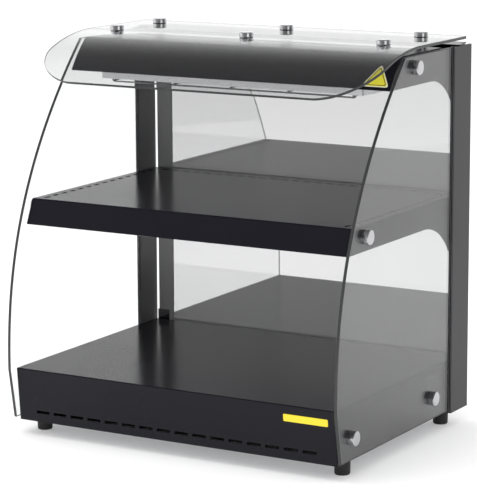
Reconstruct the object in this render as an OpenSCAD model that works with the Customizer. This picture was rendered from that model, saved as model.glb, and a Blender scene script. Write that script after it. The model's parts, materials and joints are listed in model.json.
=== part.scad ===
// Heated countertop food display: heated base and shelf, curved glass, rear mirror door.
// Millimetres, +Z up, front towards -Y. The origin is under the centre of the whole case.
// Inside the modules Y is measured from the top front edge of the base; placed() centres it.

/* [Base] */
// Width of the base, shelf and hood
body_w = 500; // [480:1:520]
// Depth of the base at its top
base_d = 365; // [360:1:366]
// Height of the base's underside above the counter
foot_h = 21; // [18:1:24]
// Height of the lower warming deck
deck_z = 96; // [92:1:100]
// How far the foot of the front panel stands back
base_lean = 7; // [0:1:10]
// Sheet steel thickness
sheet = 1.5; // [1:0.1:2]

/* [Shelf] */
// Height of the shelf's top
shelf_z = 327.5; // [320:0.5:335]
// Thickness of the shelf
shelf_h = 34; // [28:1:38]
// How far the top front edge stands behind the base's
shelf_y = 46; // [42:1:50]
// How far the shelf's front panel leans out at its foot
shelf_lean = 15; // [8:1:16]
// Radius of the arch under the shelf's bracket
shelf_arch_r = 97; // [92:1:100]

/* [Hood] */
// Height of the hood's underside
hood_z = 495; // [490:1:498]
// Height of the hood's top
hood_top_z = 536.5; // [535:0.5:538]
// Where the hood's sloping face starts
hood_y = 150; // [148:1:154]
// Radius of the sloping face
hood_face_r = 200; // [180:5:260]
// Radius of the arch under the hood's bracket
hood_arch_r = 77; // [72:1:80]
// Length of the lamp reflector
lamp_w = 412; // [380:1:430]

/* [Glass] */
// Thickness of the side panes
pane_t = 4.5; // [4:0.5:5]
// Gap between the body's sides and the side panes
pane_gap = 3; // [2.5:0.5:3.5]
// How far the side panes bulge ahead of the base
pane_nose = 9.3; // [6:0.1:12]
// Height of the side panes' top edge
pane_top_z = 535; // [533:0.5:535]
// Width of the canopy
canopy_w = 524; // [510:1:540]
// Height of the canopy's flat part
canopy_z = 548; // [547:0.5:550]
// Thickness of the canopy
canopy_t = 4; // [3:0.5:5]
// Radius of the canopy's downward curve
canopy_r = 276; // [265:1:290]
// Radius of the canopy's front corners
canopy_corner = 81; // [60:1:90]

/* [Posts and door] */
// Depth of the rear posts
post_d = 54; // [52:1:56]
// Thickness of the rear posts
post_t = 8.3; // [8:0.1:9]
// Thickness of the mirror door
door_t = 4; // [4:0.5:5]
// How far the handle stands behind the door
handle_reach = 19.6; // [18:0.2:24]

/* [Fittings] */
// Diameter of the polished caps
cap_d = 20; // [18:0.5:22]
// Depth of the caps on the side panes
cap_h = 8; // [6:0.5:9]
// Depth of the caps on the canopy
top_cap_h = 7; // [6:0.5:8]
// Diameter of the rubber feet
foot_d = 22; // [20:1:26]

/* [Hidden] */

$fn = 48;
half_w = body_w / 2;
inner_w = half_w - sheet;

// Heights and depths that several pieces share
post_y = 326;
post_x = half_w + 2.3;
post_out_x = post_x + post_t;
rebate_y = 370;
rebate_t = 4.2;
door_y = 372.4;
door_back_y = door_y + door_t;
door_half_w = half_w - 1;
door_low_z = 92;
door_high_z = 533;
rear_most_y = door_back_y + handle_reach;
centre_y = (rear_most_y - pane_nose) / 2;
bar_low_z = pane_top_z + 0.5;
bar_high_z = hood_top_z + 1;
bar_front_y = 304;
pane_x = half_w + pane_gap;
pane_out_x = pane_x + pane_t;
pane_low_z = 24.5;
pane_rear_y = post_y - 2.5;
knee_z = 95;
lower_slope = 0.177;
bow_power = 2.25;
bow_depth = 190.9;
canopy_low_z = canopy_z - canopy_t;
canopy_rear_y = 362;
crease_y = 217;
canopy_sweep = 37.2;

// Fasteners
stud_r = 3;
stud_hole_r = 3.4;
spacer_r = 8;
screw_r = 2;
screw_hole_r = 2.3;
screw_head_r = 3.8;
foot_screw_r = 2.5;
foot_hole_r = 2.8;
running_gap = 0.05;

// Stud places on the side panes: [Y, Z]
side_studs = [[32, 55], [269.8, 55], [69.4, 314], [210.3, 519.4]];
// Stud places on the canopy: [X, Y, height of the seat below it]
canopy_studs = [
  for (x = [-211, 0, 211]) [x, 208, hood_top_z],
  for (x = [-211, 0, 211]) [x, 322, bar_high_z]
];
// Screw places on the posts: [Y, Z]
post_screw_places = [[343, 38], [343, 78], [343, 270], [343, 310], [343, 478], [343, 518]];
foot_places = [[-236, 47], [236, 47], [-236, 344], [236, 344]];

// Hinge axis of the door
pivot_x = -half_w + 7;
pivot_y = door_y + door_t / 2;
pivot_pin_r = 3;

// Controls on the rear panel: X places and the height they share
control_z = 56;
dial_x = 150;
power_x = 92;
lamp_x = 60;
indicator_x = 28;
gland_x = -150;
gland_z = 50;
panel_y = base_d - sheet;
rocker_y = base_d - 2;
rocker_tilt = 7;
shaft_r = 3;

module placed() {
  translate([0, -centre_y, 0]) children();
}

// Extrudes a YZ outline along X, from x0 to x1
module along_x(x0, x1) {
  translate([x0, 0, 0]) rotate([90, 0, 90]) linear_extrude(x1 - x0) children();
}

// A box given by its low and high corners
module block(low, high) {
  translate(low) cube(high - low);
}

// A round bar along X, Y or Z, from its start point
module bar_x(at, r, len) {
  translate(at) rotate([0, 90, 0]) cylinder(r = r, h = len);
}
module bar_y(at, r, len) {
  translate(at) rotate([-90, 0, 0]) cylinder(r = r, h = len);
}
module bar_z(at, r, len) {
  translate(at) cylinder(r = r, h = len);
}

// Mirrors a right-hand piece to the left when side is -1
module sided(side) {
  if (side < 0) mirror([1, 0, 0]) children();
  else children();
}

// ---- Base ----

function base_front(z) = base_lean * (deck_z - z) / (deck_z - foot_h);

module base_outline(inset) {
  polygon([
    [base_front(foot_h) + inset, foot_h - (inset > 0 ? 5 : 0)],
    [inset, deck_z - inset],
    [base_d + (inset > 0 ? 5 : 0), deck_z - inset],
    [base_d + (inset > 0 ? 5 : 0), foot_h - (inset > 0 ? 5 : 0)]
  ]);
}

// Row of cooling slots low on the front
module front_vents() {
  count = 16;
  pitch = 28;
  slot_l = 21;
  slot_h = 4.5;
  slot_z = foot_h + 14;
  for (i = [0 : count - 1])
    translate([(i - (count - 1) / 2) * pitch, base_front(slot_z), slot_z])
      cube([slot_l, 12, slot_h], center = true);
}

module base_cover() {
  color([0.14, 0.14, 0.16]) placed() difference() {
    along_x(-half_w, half_w) base_outline(0);
    along_x(-inner_w, inner_w) base_outline(sheet);
    front_vents();
    for (place = side_studs)
      if (place[1] < deck_z) bar_x([-half_w - 5, place[0], place[1]], stud_hole_r, body_w + 10);
    for (place = post_screw_places)
      if (place[1] < deck_z) bar_x([-half_w - 5, place[0], place[1]], screw_hole_r, body_w + 10);
  }
}

// Folded bottom pan with air slots
module base_pan() {
  wall_h = 12;
  edge_x = inner_w - 0.3;
  front = base_front(foot_h) + sheet + 0.6;
  rear = panel_y - 0.3;
  color([0.45, 0.46, 0.48]) placed() difference() {
    block([-edge_x, front, foot_h], [edge_x, rear, foot_h + wall_h]);
    block([-edge_x + sheet, front + sheet, foot_h + sheet],
          [edge_x - sheet, rear - sheet, foot_h + wall_h + 1]);
    for (i = [-4 : 4], y = [150, 200])
      translate([i * 36, y, foot_h]) cube([24, 4, 10], center = true);
    for (place = foot_places) bar_z([place[0], place[1], foot_h - 1], foot_hole_r, 5);
  }
}

module rocker_cutout(x) {
  translate([x, panel_y, control_z]) cube([14.4, 8, 19.4], center = true);
}

// Rear panel with the openings for the controls and a field of air slots
module rear_panel() {
  edge_x = inner_w - 0.2;
  color([0.14, 0.14, 0.16]) placed() difference() {
    block([-edge_x, panel_y, foot_h + 1], [edge_x, base_d, deck_z - sheet - 0.1]);
    bar_y([dial_x, panel_y - 1, control_z], shaft_r + 1, sheet + 2);
    bar_y([indicator_x, panel_y - 1, control_z], 4.1, sheet + 2);
    bar_y([gland_x, panel_y - 1, gland_z], 7.7, sheet + 2);
    rocker_cutout(power_x);
    rocker_cutout(lamp_x);
    for (i = [0 : 7], z = [42, 50, 58, 66])
      translate([-95 + i * 12.5, panel_y, z]) cube([9, 8, 2.6], center = true);
  }
}

module deck_heating_mat() {
  color([0.75, 0.35, 0.2]) placed()
    block([-215, 40, deck_z - sheet - 2.5], [215, 325, deck_z - sheet]);
}

module deck_insulation() {
  color([0.85, 0.82, 0.7]) placed()
    block([-225, 30, deck_z - sheet - 14.5], [225, 330, deck_z - sheet - 2.5]);
}

module terminal_block() {
  low = foot_h + sheet;
  color([0.9, 0.9, 0.86]) placed() difference() {
    block([-185, 290, low], [-125, 312, low + 20]);
    for (i = [0 : 4]) bar_z([-175 + i * 10, 301, low + 8], 2.4, 15);
  }
}

// ---- Controls ----

module thermostat_body() {
  color([0.75, 0.76, 0.78]) placed() difference() {
    union() {
      block([dial_x - 17, panel_y - 24, control_z - 17], [dial_x + 17, panel_y - 4, control_z + 17]);
      bar_y([dial_x, panel_y - 4, control_z], 7, 4);
    }
    bar_y([dial_x, panel_y - 16, control_z], shaft_r + running_gap, 20);
  }
}

module thermostat_shaft() {
  color([0.8, 0.8, 0.82]) placed()
    bar_y([dial_x, panel_y - 15, control_z], shaft_r, 15 + sheet + 14);
}

module thermostat_knob() {
  knob_y = base_d + 1.8;
  knob_r = 17;
  color([0.08, 0.08, 0.09]) placed() difference() {
    union() {
      bar_y([dial_x, knob_y, control_z], knob_r, 5);
      bar_y([dial_x, knob_y, control_z], knob_r - 3.5, 15);
      block([dial_x - 3, knob_y + 5, control_z - knob_r + 4],
            [dial_x + 3, knob_y + 18, control_z + knob_r - 1]);
    }
    bar_y([dial_x, knob_y - 1, control_z], shaft_r, base_d + 14 - knob_y + 1);
  }
}

module dial_plate() {
  color([0.8, 0.8, 0.8]) placed() difference() {
    bar_y([dial_x, base_d, control_z], 24, 0.8);
    bar_y([dial_x, base_d - 1, control_z], shaft_r + 1.5, 3);
  }
}

// Housing of a rocker switch: flange outside the panel, cavity with two pin holes
module rocker_housing(x) {
  translate([x, 0, control_z]) difference() {
    union() {
      block([-8.5, base_d, -11.2], [8.5, base_d + 1.5, 11.2]);
      block([-7, base_d - 16, -9.5], [7, base_d, 9.5]);
    }
    block([-5, rocker_y - 8, -8.3], [5, base_d + 5, 8.3]);
    bar_x([-6.4, rocker_y, 0], 1 + running_gap, 12.8);
  }
}

// Rocker with its two pins, tilted to its off side
module rocker(x) {
  translate([x, rocker_y, control_z]) rotate([rocker_tilt, 0, 0]) {
    along_x(-4.6, 4.6) polygon([[-3, -4], [4.4, -7.4], [3.2, 0], [4.4, 7.4], [-3, 4]]);
    bar_x([-6, 0, 0], 1, 12);
  }
}

module power_switch_housing() {
  color([0.07, 0.07, 0.07]) placed() rocker_housing(power_x);
}

module power_rocker() {
  color([0.7, 0.08, 0.06]) placed() rocker(power_x);
}

module lamp_switch_housing() {
  color([0.07, 0.07, 0.07]) placed() rocker_housing(lamp_x);
}

module lamp_rocker() {
  color([0.08, 0.08, 0.08]) placed() rocker(lamp_x);
}

module indicator_lamp() {
  color([0.9, 0.35, 0.1]) placed() {
    bar_y([indicator_x, panel_y - 18, control_z], 4, 18 + sheet);
    bar_y([indicator_x, base_d, control_z], 5.5, 1.5);
    bar_y([indicator_x, base_d + 1.5, control_z], 4, 3);
  }
}

// Cord gland with an open 8 mm bore
module cord_gland() {
  color([0.1, 0.1, 0.1]) placed() translate([gland_x, 0, gland_z]) difference() {
    union() {
      bar_y([0, panel_y - 12, 0], 7.5, 12 + sheet);
      translate([0, base_d, 0]) rotate([-90, 0, 0]) cylinder(r = 11.5, h = 6, $fn = 6);
      bar_y([0, base_d + 6, 0], 9.5, 8);
    }
    bar_y([0, panel_y - 13, 0], 4, 40);
  }
}

module gland_nut() {
  color([0.1, 0.1, 0.1]) placed() translate([gland_x, panel_y - 5, gland_z]) difference() {
    rotate([-90, 0, 0]) cylinder(r = 11, h = 5, $fn = 6);
    bar_y([0, -1, 0], 7.5, 7);
  }
}

// ---- Feet ----

// Rubber foot with a chamfered tread and a sunk screw seat
module foot(place) {
  r = foot_d / 2;
  color([0.06, 0.06, 0.06]) placed() translate([place[0], place[1], 0]) difference() {
    rotate_extrude() polygon([[0, 0], [r - 1.5, 0], [r - 0.4, 1.5], [r, foot_h], [0, foot_h]]);
    bar_z([0, 0, -1], 6, 8);
    bar_z([0, 0, 0], foot_hole_r, foot_h + 1);
  }
}

module foot_screws() {
  color([0.75, 0.75, 0.76]) placed() for (place = foot_places)
    translate([place[0], place[1], 0]) {
      bar_z([0, 0, 4], 5, 3);
      bar_z([0, 0, 7], foot_screw_r, foot_h - 7 + sheet + 6);
      translate([0, 0, foot_h + sheet]) cylinder(r = 4.6, h = 4, $fn = 6);
    }
}

// ---- Posts ----

// Right-hand post: two grooves up its front, a rebate for the door at its rear
module post(side) {
  color([0.12, 0.12, 0.13]) placed() sided(side) difference() {
    block([post_x, post_y, foot_h + 1.6], [post_out_x, post_y + post_d, bar_low_z]);
    block([post_x - 1, rebate_y, foot_h], [post_x + rebate_t, post_y + post_d + 1, bar_low_z + 1]);
    for (x = [2.2, 5.2])
      block([post_x + x, post_y - 1, foot_h], [post_x + x + 1.1, post_y + 1.6, bar_low_z + 1]);
    for (place = post_screw_places)
      bar_x([post_x - 1, place[0], place[1]], screw_hole_r, 6);
  }
}

module post_end_caps() {
  color([0.08, 0.08, 0.08]) placed() for (side = [-1, 1]) sided(side)
    block([post_x, post_y, foot_h], [post_out_x, post_y + post_d, foot_h + 1.6]);
}

module post_spacers() {
  color([0.1, 0.1, 0.1]) placed() for (side = [-1, 1], place = post_screw_places)
    sided(side) difference() {
      bar_x([half_w, place[0], place[1]], 6, post_x - half_w);
      bar_x([half_w - 1, place[0], place[1]], screw_hole_r, 5);
    }
}

module post_screws() {
  color([0.7, 0.7, 0.72]) placed() for (side = [-1, 1], place = post_screw_places)
    sided(side) {
      bar_x([inner_w, place[0], place[1]], screw_r, post_x - inner_w + 4.5);
      bar_x([inner_w - 2.4, place[0], place[1]], screw_head_r, 2.4);
    }
}

// ---- Shelf ----

shelf_low_z = shelf_z - shelf_h;
shelf_under_z = shelf_z - sheet;

// Bent sheet: top with perforated edges, and the leaning front panel
module shelf_top() {
  low_y = shelf_y - shelf_lean;
  slot_w = 5;
  slot_inset = 15;
  side_slot_l = 13;
  side_start_y = 62;
  side_count = 14;
  side_pitch = 20.7;
  rear_slot_l = 12;
  rear_count = 25;
  rear_pitch = 18.5;
  color([0.14, 0.14, 0.16]) placed() difference() {
    along_x(-half_w, half_w) polygon([
      [shelf_y, shelf_z], [base_d, shelf_z], [base_d, shelf_under_z],
      [shelf_y + sheet, shelf_under_z], [low_y + sheet, shelf_low_z], [low_y, shelf_low_z]
    ]);
    for (side = [-1, 1], i = [0 : side_count - 1])
      translate([side * (half_w - slot_inset), side_start_y + i * side_pitch, shelf_z])
        cube([slot_w, side_slot_l, 3 * sheet], center = true);
    for (i = [0 : rear_count - 1])
      translate([(i - (rear_count - 1) / 2) * rear_pitch, base_d - slot_inset, shelf_z])
        cube([rear_slot_l, slot_w, 3 * sheet], center = true);
  }
}

module shelf_bottom() {
  front = shelf_y - shelf_lean + 2 * sheet;
  color([0.14, 0.14, 0.16]) placed()
    block([-inner_w + 0.1, front, shelf_low_z], [inner_w - 0.1, base_d, shelf_low_z + sheet]);
}

// Outline of a bracket: a straight underside that arches down to a rear leg
module bracket_outline(front, low_z, high_z, arch_y, arch_r, leg_y, rear_y) {
  leg_drop = arch_r - sqrt(arch_r * arch_r - (leg_y - arch_y) * (leg_y - arch_y));
  difference() {
    polygon(concat(front, [[rear_y, high_z], [rear_y, low_z - leg_drop], [arch_y, low_z - leg_drop],
                           [arch_y, low_z]]));
    translate([arch_y, low_z - arch_r]) circle(arch_r, $fn = 96);
  }
}

module shelf_bracket(side) {
  color([0.14, 0.14, 0.16]) placed() sided(side) difference() {
    along_x(inner_w, half_w) bracket_outline(
      [[shelf_y - shelf_lean + sheet, shelf_low_z], [shelf_y + sheet, shelf_under_z]],
      shelf_low_z, shelf_under_z, 250, shelf_arch_r, 331, base_d - 3);
    bar_x([inner_w - 1, side_studs[2][0], side_studs[2][1]], stud_hole_r, 5);
    for (i = [2, 3])
      bar_x([inner_w - 1, post_screw_places[i][0], post_screw_places[i][1]], screw_hole_r, 5);
  }
}

module shelf_heating_mat() {
  color([0.75, 0.35, 0.2]) placed()
    block([-215, 70, shelf_under_z - 2.5], [215, 335, shelf_under_z]);
}

module shelf_insulation() {
  color([0.85, 0.82, 0.7]) placed()
    block([-225, 60, shelf_under_z - 18.5], [225, 340, shelf_under_z - 2.5]);
}

// ---- Hood ----

// The face is an arc from the underside up to the flat top
face_run = 37;
face_rise = hood_top_z - hood_z;
face_angle = atan2(face_rise, face_run);
face_half = asin(norm([face_run, face_rise]) / 2 / hood_face_r);
face_centre = [
  hood_y + face_run / 2 + cos(face_half) * hood_face_r * sin(face_angle),
  (hood_z + hood_top_z) / 2 - cos(face_half) * hood_face_r * cos(face_angle)
];
// Points along the face, from the underside to the top, on a radius grown by grow
function face_point(t, grow) = let (a = 90 + face_angle + face_half - 2 * face_half * t)
  [face_centre[0] + (hood_face_r + grow) * cos(a), face_centre[1] + (hood_face_r + grow) * sin(a)];
face_steps = 8;

module hood_shell() {
  color([0.14, 0.14, 0.16]) placed() difference() {
    along_x(-half_w, half_w) polygon(concat(
      [for (i = [0 : face_steps]) face_point(i / face_steps, 0)],
      [[bar_front_y, hood_top_z], [bar_front_y, hood_top_z - sheet]],
      [for (i = [face_steps : -1 : 0]) face_point(i / face_steps, -sheet)]
    ));
    for (stud = canopy_studs)
      if (stud[2] == hood_top_z) bar_z([stud[0], stud[1], hood_top_z - 5], stud_hole_r, 10);
  }
}

module hood_bottom() {
  color([0.5, 0.5, 0.52]) placed()
    block([-inner_w + 0.1, hood_y + 3.5, hood_z], [inner_w - 0.1, base_d - 3, hood_z + sheet]);
}

module hood_bracket(side) {
  top_z = hood_top_z - sheet - 0.05;
  front = concat([for (i = [0 : face_steps - 1]) face_point(i / face_steps, -sheet - 0.1)],
                 [[hood_y + face_run + sheet, top_z]]);
  color([0.14, 0.14, 0.16]) placed() sided(side) difference() {
    along_x(inner_w, half_w)
      bracket_outline(front, hood_z, top_z, 268, hood_arch_r, 331, base_d - 3);
    bar_x([inner_w - 1, side_studs[3][0], side_studs[3][1]], stud_hole_r, 5);
    for (i = [4, 5])
      bar_x([inner_w - 1, post_screw_places[i][0], post_screw_places[i][1]], screw_hole_r, 5);
  }
}

// ---- Lamp ----

lamp_half = lamp_w / 2;
lamp_front_y = 160;
lamp_rear_y = 226;
lamp_y = (lamp_front_y + lamp_rear_y) / 2;
lamp_low_z = hood_z - 11;
lamp_axis_z = hood_z - 6;
guard_z = hood_z - 15;
holder_x = lamp_half - 16;

// Shallow reflector tray, open below
module lamp_reflector() {
  color([0.85, 0.85, 0.86]) placed() difference() {
    block([-lamp_half, lamp_front_y, lamp_low_z], [lamp_half, lamp_rear_y, hood_z]);
    block([-lamp_half + 1, lamp_front_y + 1, lamp_low_z - 1],
          [lamp_half - 1, lamp_rear_y - 1, hood_z - 1]);
  }
}

module lamp_tube() {
  color([1, 0.95, 0.8]) placed() bar_x([-holder_x, lamp_y, lamp_axis_z], 4, 2 * holder_x);
}

module lamp_holders() {
  color([0.93, 0.92, 0.88]) placed() for (side = [-1, 1]) sided(side) difference() {
    block([holder_x - 6, lamp_y - 6, lamp_axis_z - 5], [holder_x + 8, lamp_y + 6, hood_z - 1]);
    bar_x([holder_x - 7, lamp_y, lamp_axis_z], 4, 7);
  }
}

// Wire guard: two long wires, cross wires laid over them, and end rods up to the reflector
module lamp_guard() {
  wire_r = 1.1;
  wire_sides = 8;
  front = lamp_front_y + 7;
  rear = lamp_rear_y - 4;
  end_x = lamp_half - 14;
  color([0.8, 0.8, 0.82]) placed() {
    for (y = [front, rear]) {
      bar_x([-end_x - 1, y, guard_z], wire_r, 2 * end_x + 2, $fn = wire_sides);
      for (side = [-1, 1])
        bar_z([side * end_x, y, guard_z], wire_r * 0.9, hood_z - 1 - guard_z, $fn = wire_sides);
    }
    for (x = [-end_x + 3, -90, 0, 90, end_x - 3])
      bar_y([x, front - 2, guard_z + 1.3 * wire_r], wire_r, rear - front + 4, $fn = wire_sides);
  }
}

// ---- Top ----

// Plate across both posts, stepped back at its front corners and cut away over the posts' rear
module top_crossbar() {
  rear_y = post_y + post_d;
  front_step = [36, 36.3];
  rear_step = [8, 21.5];
  color([0.14, 0.14, 0.16]) placed() difference() {
    block([-post_out_x, bar_front_y, bar_low_z], [post_out_x, rear_y, bar_high_z]);
    for (side = [-1, 1]) sided(side) {
      block([post_out_x - front_step[0], bar_front_y - 1, bar_low_z - 1],
            [post_out_x + 1, bar_front_y + front_step[1], bar_high_z + 1]);
      block([post_out_x - rear_step[0], rear_y - rear_step[1], bar_low_z - 1],
            [post_out_x + 1, rear_y + 1, bar_high_z + 1]);
    }
    for (stud = canopy_studs)
      if (stud[2] == bar_high_z) bar_z([stud[0], stud[1], bar_low_z - 1], stud_hole_r, 5);
    bar_z([pivot_x, pivot_y, bar_low_z - 1], 4.6, 5);
  }
}

// Side outline of the canopy: a flat rear part that curves down to the front edge
module canopy_outline() {
  steps = 32;
  centre_z = canopy_z - canopy_r;
  polygon(concat(
    [[canopy_rear_y, canopy_low_z], [canopy_rear_y, canopy_z]],
    [for (i = [0 : steps]) let (a = 90 + canopy_sweep * i / steps)
      [crease_y + canopy_r * cos(a), centre_z + canopy_r * sin(a)]],
    [for (i = [steps : -1 : 0]) let (a = 90 + canopy_sweep * i / steps)
      [crease_y + (canopy_r - canopy_t) * cos(a), centre_z + (canopy_r - canopy_t) * sin(a)]]
  ));
}

// Plan of the canopy. Its corners are round along the bent sheet, so shorter in plan.
module canopy_plan() {
  half = canopy_w / 2;
  steps = 20;
  front_y = crease_y - canopy_r * sin(canopy_sweep);
  bent = canopy_r * canopy_sweep * PI / 180;
  function corner(i) = let (a = 90 * i / steps, s = bent - canopy_corner * (1 - sin(a)))
    [half - canopy_corner * (1 - cos(a)), crease_y - canopy_r * sin(s / canopy_r * 180 / PI)];
  polygon(concat(
    [[half, canopy_rear_y + 1]],
    [for (i = [0 : steps]) corner(i) - [0, i == steps ? 1 : 0]],
    [for (i = [steps : -1 : 0]) [-corner(i)[0], corner(i)[1] - (i == steps ? 1 : 0)]],
    [[-half, canopy_rear_y + 1]]
  ));
}

module canopy() {
  color([0.8, 0.9, 0.9, 0.35]) placed() difference() {
    intersection() {
      along_x(-canopy_w, canopy_w) canopy_outline();
      translate([0, 0, canopy_z - 100]) linear_extrude(200) canopy_plan();
    }
    for (stud = canopy_studs) bar_z([stud[0], stud[1], canopy_low_z - 5], stud_hole_r, 10);
  }
}

module canopy_spacers() {
  color([0.8, 0.8, 0.82]) placed() for (stud = canopy_studs)
    difference() {
      bar_z([stud[0], stud[1], stud[2]], spacer_r, spacer_top(stud[1]) - stud[2]);
      bar_z([stud[0], stud[1], stud[2] - 1], stud_hole_r, 20);
    }
}

// The front studs stand where the sheet has just begun to curve down
function canopy_drop(y) = y < crease_y ? canopy_r - sqrt(canopy_r * canopy_r - pow(crease_y - y, 2)) : 0;
function spacer_top(y) = canopy_low_z - canopy_drop(y - spacer_r);

module canopy_caps() {
  color([0.85, 0.85, 0.87]) placed() for (stud = canopy_studs) {
    bar_z([stud[0], stud[1], canopy_z], cap_d / 2, top_cap_h);
    bar_z([stud[0], stud[1], stud[2] - 8], stud_r, canopy_z - stud[2] + 8);
  }
}

// ---- Side panes ----

// Front edge: straight from the foot out to the knee, then bowing back to the top
function pane_front(z) = z < knee_z
  ? -pane_nose + lower_slope * (knee_z - z)
  : -pane_nose + bow_depth * pow((z - knee_z) / (pane_top_z - knee_z), bow_power);

module pane_outline() {
  steps = 28;
  polygon(concat(
    [[pane_front(pane_low_z), pane_low_z]],
    [for (i = [0 : steps]) let (z = knee_z + (pane_top_z - knee_z) * i / steps) [pane_front(z), z]],
    [[pane_rear_y, pane_top_z], [pane_rear_y, pane_low_z]]
  ));
}

module side_pane(side) {
  color([0.8, 0.9, 0.9, 0.35]) placed() sided(side) difference() {
    along_x(pane_x, pane_out_x) pane_outline();
    for (place = side_studs) bar_x([pane_x - 1, place[0], place[1]], stud_hole_r, pane_t + 2);
  }
}

module side_spacers() {
  color([0.8, 0.8, 0.82]) placed() for (side = [-1, 1], place = side_studs)
    sided(side) difference() {
      bar_x([half_w, place[0], place[1]], spacer_r, pane_gap);
      bar_x([half_w - 1, place[0], place[1]], stud_hole_r, pane_gap + 2);
    }
}

module side_caps() {
  color([0.85, 0.85, 0.87]) placed() for (side = [-1, 1], place = side_studs)
    sided(side) {
      bar_x([pane_out_x, place[0], place[1]], cap_d / 2, cap_h);
      bar_x([inner_w - 7, place[0], place[1]], stud_r, pane_out_x - inner_w + 7);
    }
}

// Nuts inside the base, shelf and hood, and under the crossbar
module stud_nuts() {
  nut_r = 5.7;
  color([0.7, 0.7, 0.72]) placed() {
    for (side = [-1, 1], place = side_studs) sided(side)
      translate([inner_w - 4.5, place[0], place[1]]) rotate([0, 90, 0]) difference() {
        cylinder(r = nut_r, h = 4.5, $fn = 6);
        bar_z([0, 0, -1], stud_r, 7);
      }
    for (stud = canopy_studs)
      translate([stud[0], stud[1], stud_seat(stud) - 4.5]) difference() {
        cylinder(r = nut_r, h = 4.5, $fn = 6);
        bar_z([0, 0, -1], stud_r, 7);
      }
  }
}

// Underside of the sheet that a canopy stud passes through
function stud_seat(stud) = stud[2] == hood_top_z ? hood_top_z - sheet : bar_low_z;

// ---- Door ----

module door_mirror() {
  color([0.85, 0.87, 0.88]) placed()
    block([-door_half_w, door_y, door_low_z], [door_half_w, door_back_y, door_high_z]);
}

// Bow handle bonded to the back of the door
module door_handle() {
  handle_x = door_half_w - 32;
  handle_r = 5;
  foot_t = 3;
  low_z = 262;
  high_z = 382;
  bar_centre_y = door_back_y + handle_reach - handle_r;
  color([0.85, 0.85, 0.87]) placed() {
    bar_z([handle_x, bar_centre_y, low_z - 8], handle_r, high_z - low_z + 16);
    for (z = [low_z, high_z]) {
      bar_y([handle_x, door_back_y, z], 8, foot_t);
      bar_y([handle_x, door_back_y, z], 4, handle_reach - handle_r);
    }
  }
}

// Clamp that grips the corner of the glass, with its pivot pin
module pivot_clamp(glass_z, up) {
  depth = 18;
  grip_t = 3;
  low = up ? glass_z - depth : glass_z;
  high = up ? glass_z : glass_z + depth;
  color([0.82, 0.82, 0.84]) placed() {
    for (y = [door_y - grip_t, door_back_y])
      block([-door_half_w, y, low], [-door_half_w + 20, y + grip_t, high]);
    bar_z([pivot_x, pivot_y, up ? glass_z : glass_z - 8], pivot_pin_r, up ? bar_high_z - glass_z - 0.5 : 8);
    block([-door_half_w, door_y - grip_t, up ? glass_z : glass_z - 1],
          [-door_half_w + 20, door_back_y + grip_t, up ? glass_z + 1 : glass_z]);
  }
}

module pivot_clamp_top() {
  pivot_clamp(door_high_z, true);
}

module pivot_clamp_bottom() {
  pivot_clamp(door_low_z, false);
}

module pivot_bush_top() {
  color([0.9, 0.9, 0.86]) placed() difference() {
    union() {
      bar_z([pivot_x, pivot_y, bar_low_z], 4.6, bar_high_z - bar_low_z);
      bar_z([pivot_x, pivot_y, bar_high_z], 5.6, 1);
    }
    bar_z([pivot_x, pivot_y, bar_low_z - 1], pivot_pin_r + running_gap, bar_high_z - bar_low_z + 1);
  }
}

// Ledge on the rear panel that carries the lower pin
module pivot_bracket_bottom() {
  ledge_z = 85;
  color([0.82, 0.82, 0.84]) placed() difference() {
    union() {
      block([pivot_x - 6, base_d, ledge_z], [pivot_x + 14, pivot_y + 6, ledge_z + 4]);
      block([pivot_x - 6, base_d, ledge_z - 14], [pivot_x + 14, base_d + 2.5, ledge_z]);
    }
    bar_z([pivot_x, pivot_y, ledge_z - 1], pivot_pin_r + running_gap, 6);
  }
}

module catch_magnet() {
  color([0.1, 0.1, 0.1]) placed()
    block([212, bar_front_y + 52, bar_low_z - 16], [240, door_y - 1.4, bar_low_z]);
}

module catch_plate() {
  color([0.7, 0.7, 0.72]) placed()
    block([216, door_y - 0.8, bar_low_z - 15], [236, door_y, bar_low_z - 4]);
}

// ---- Plain front badge and corner label ----

module front_badge() {
  lean = atan2(base_lean, deck_z - foot_h);
  centre_z = 79;
  color([0.9, 0.75, 0.1]) placed()
    translate([206, base_front(centre_z), centre_z]) rotate([lean, 0, 0])
      translate([-33, -0.8, -5]) cube([66, 0.8, 10]);
}

// Blank triangle bent to the hood's face
module corner_label() {
  side_len = 39;
  skin = 0.6;
  start = 2 * hood_face_r * sin(face_half) * 0.08;
  low_point = face_point(0, 0);
  color([0.92, 0.85, 0.15]) placed() intersection() {
    along_x(0, half_w) polygon(concat(
      [for (i = [0 : face_steps]) face_point(i / face_steps, skin)],
      [for (i = [face_steps : -1 : 0]) face_point(i / face_steps, 0)]
    ));
    translate([half_w - 3 - side_len / 2, low_point[0], low_point[1]])
      rotate([face_angle, 0, 0]) translate([0, start, -20]) linear_extrude(50)
        polygon([[-side_len / 2, 0], [side_len / 2, 0], [0, side_len * sqrt(3) / 2]]);
  }
}

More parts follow.
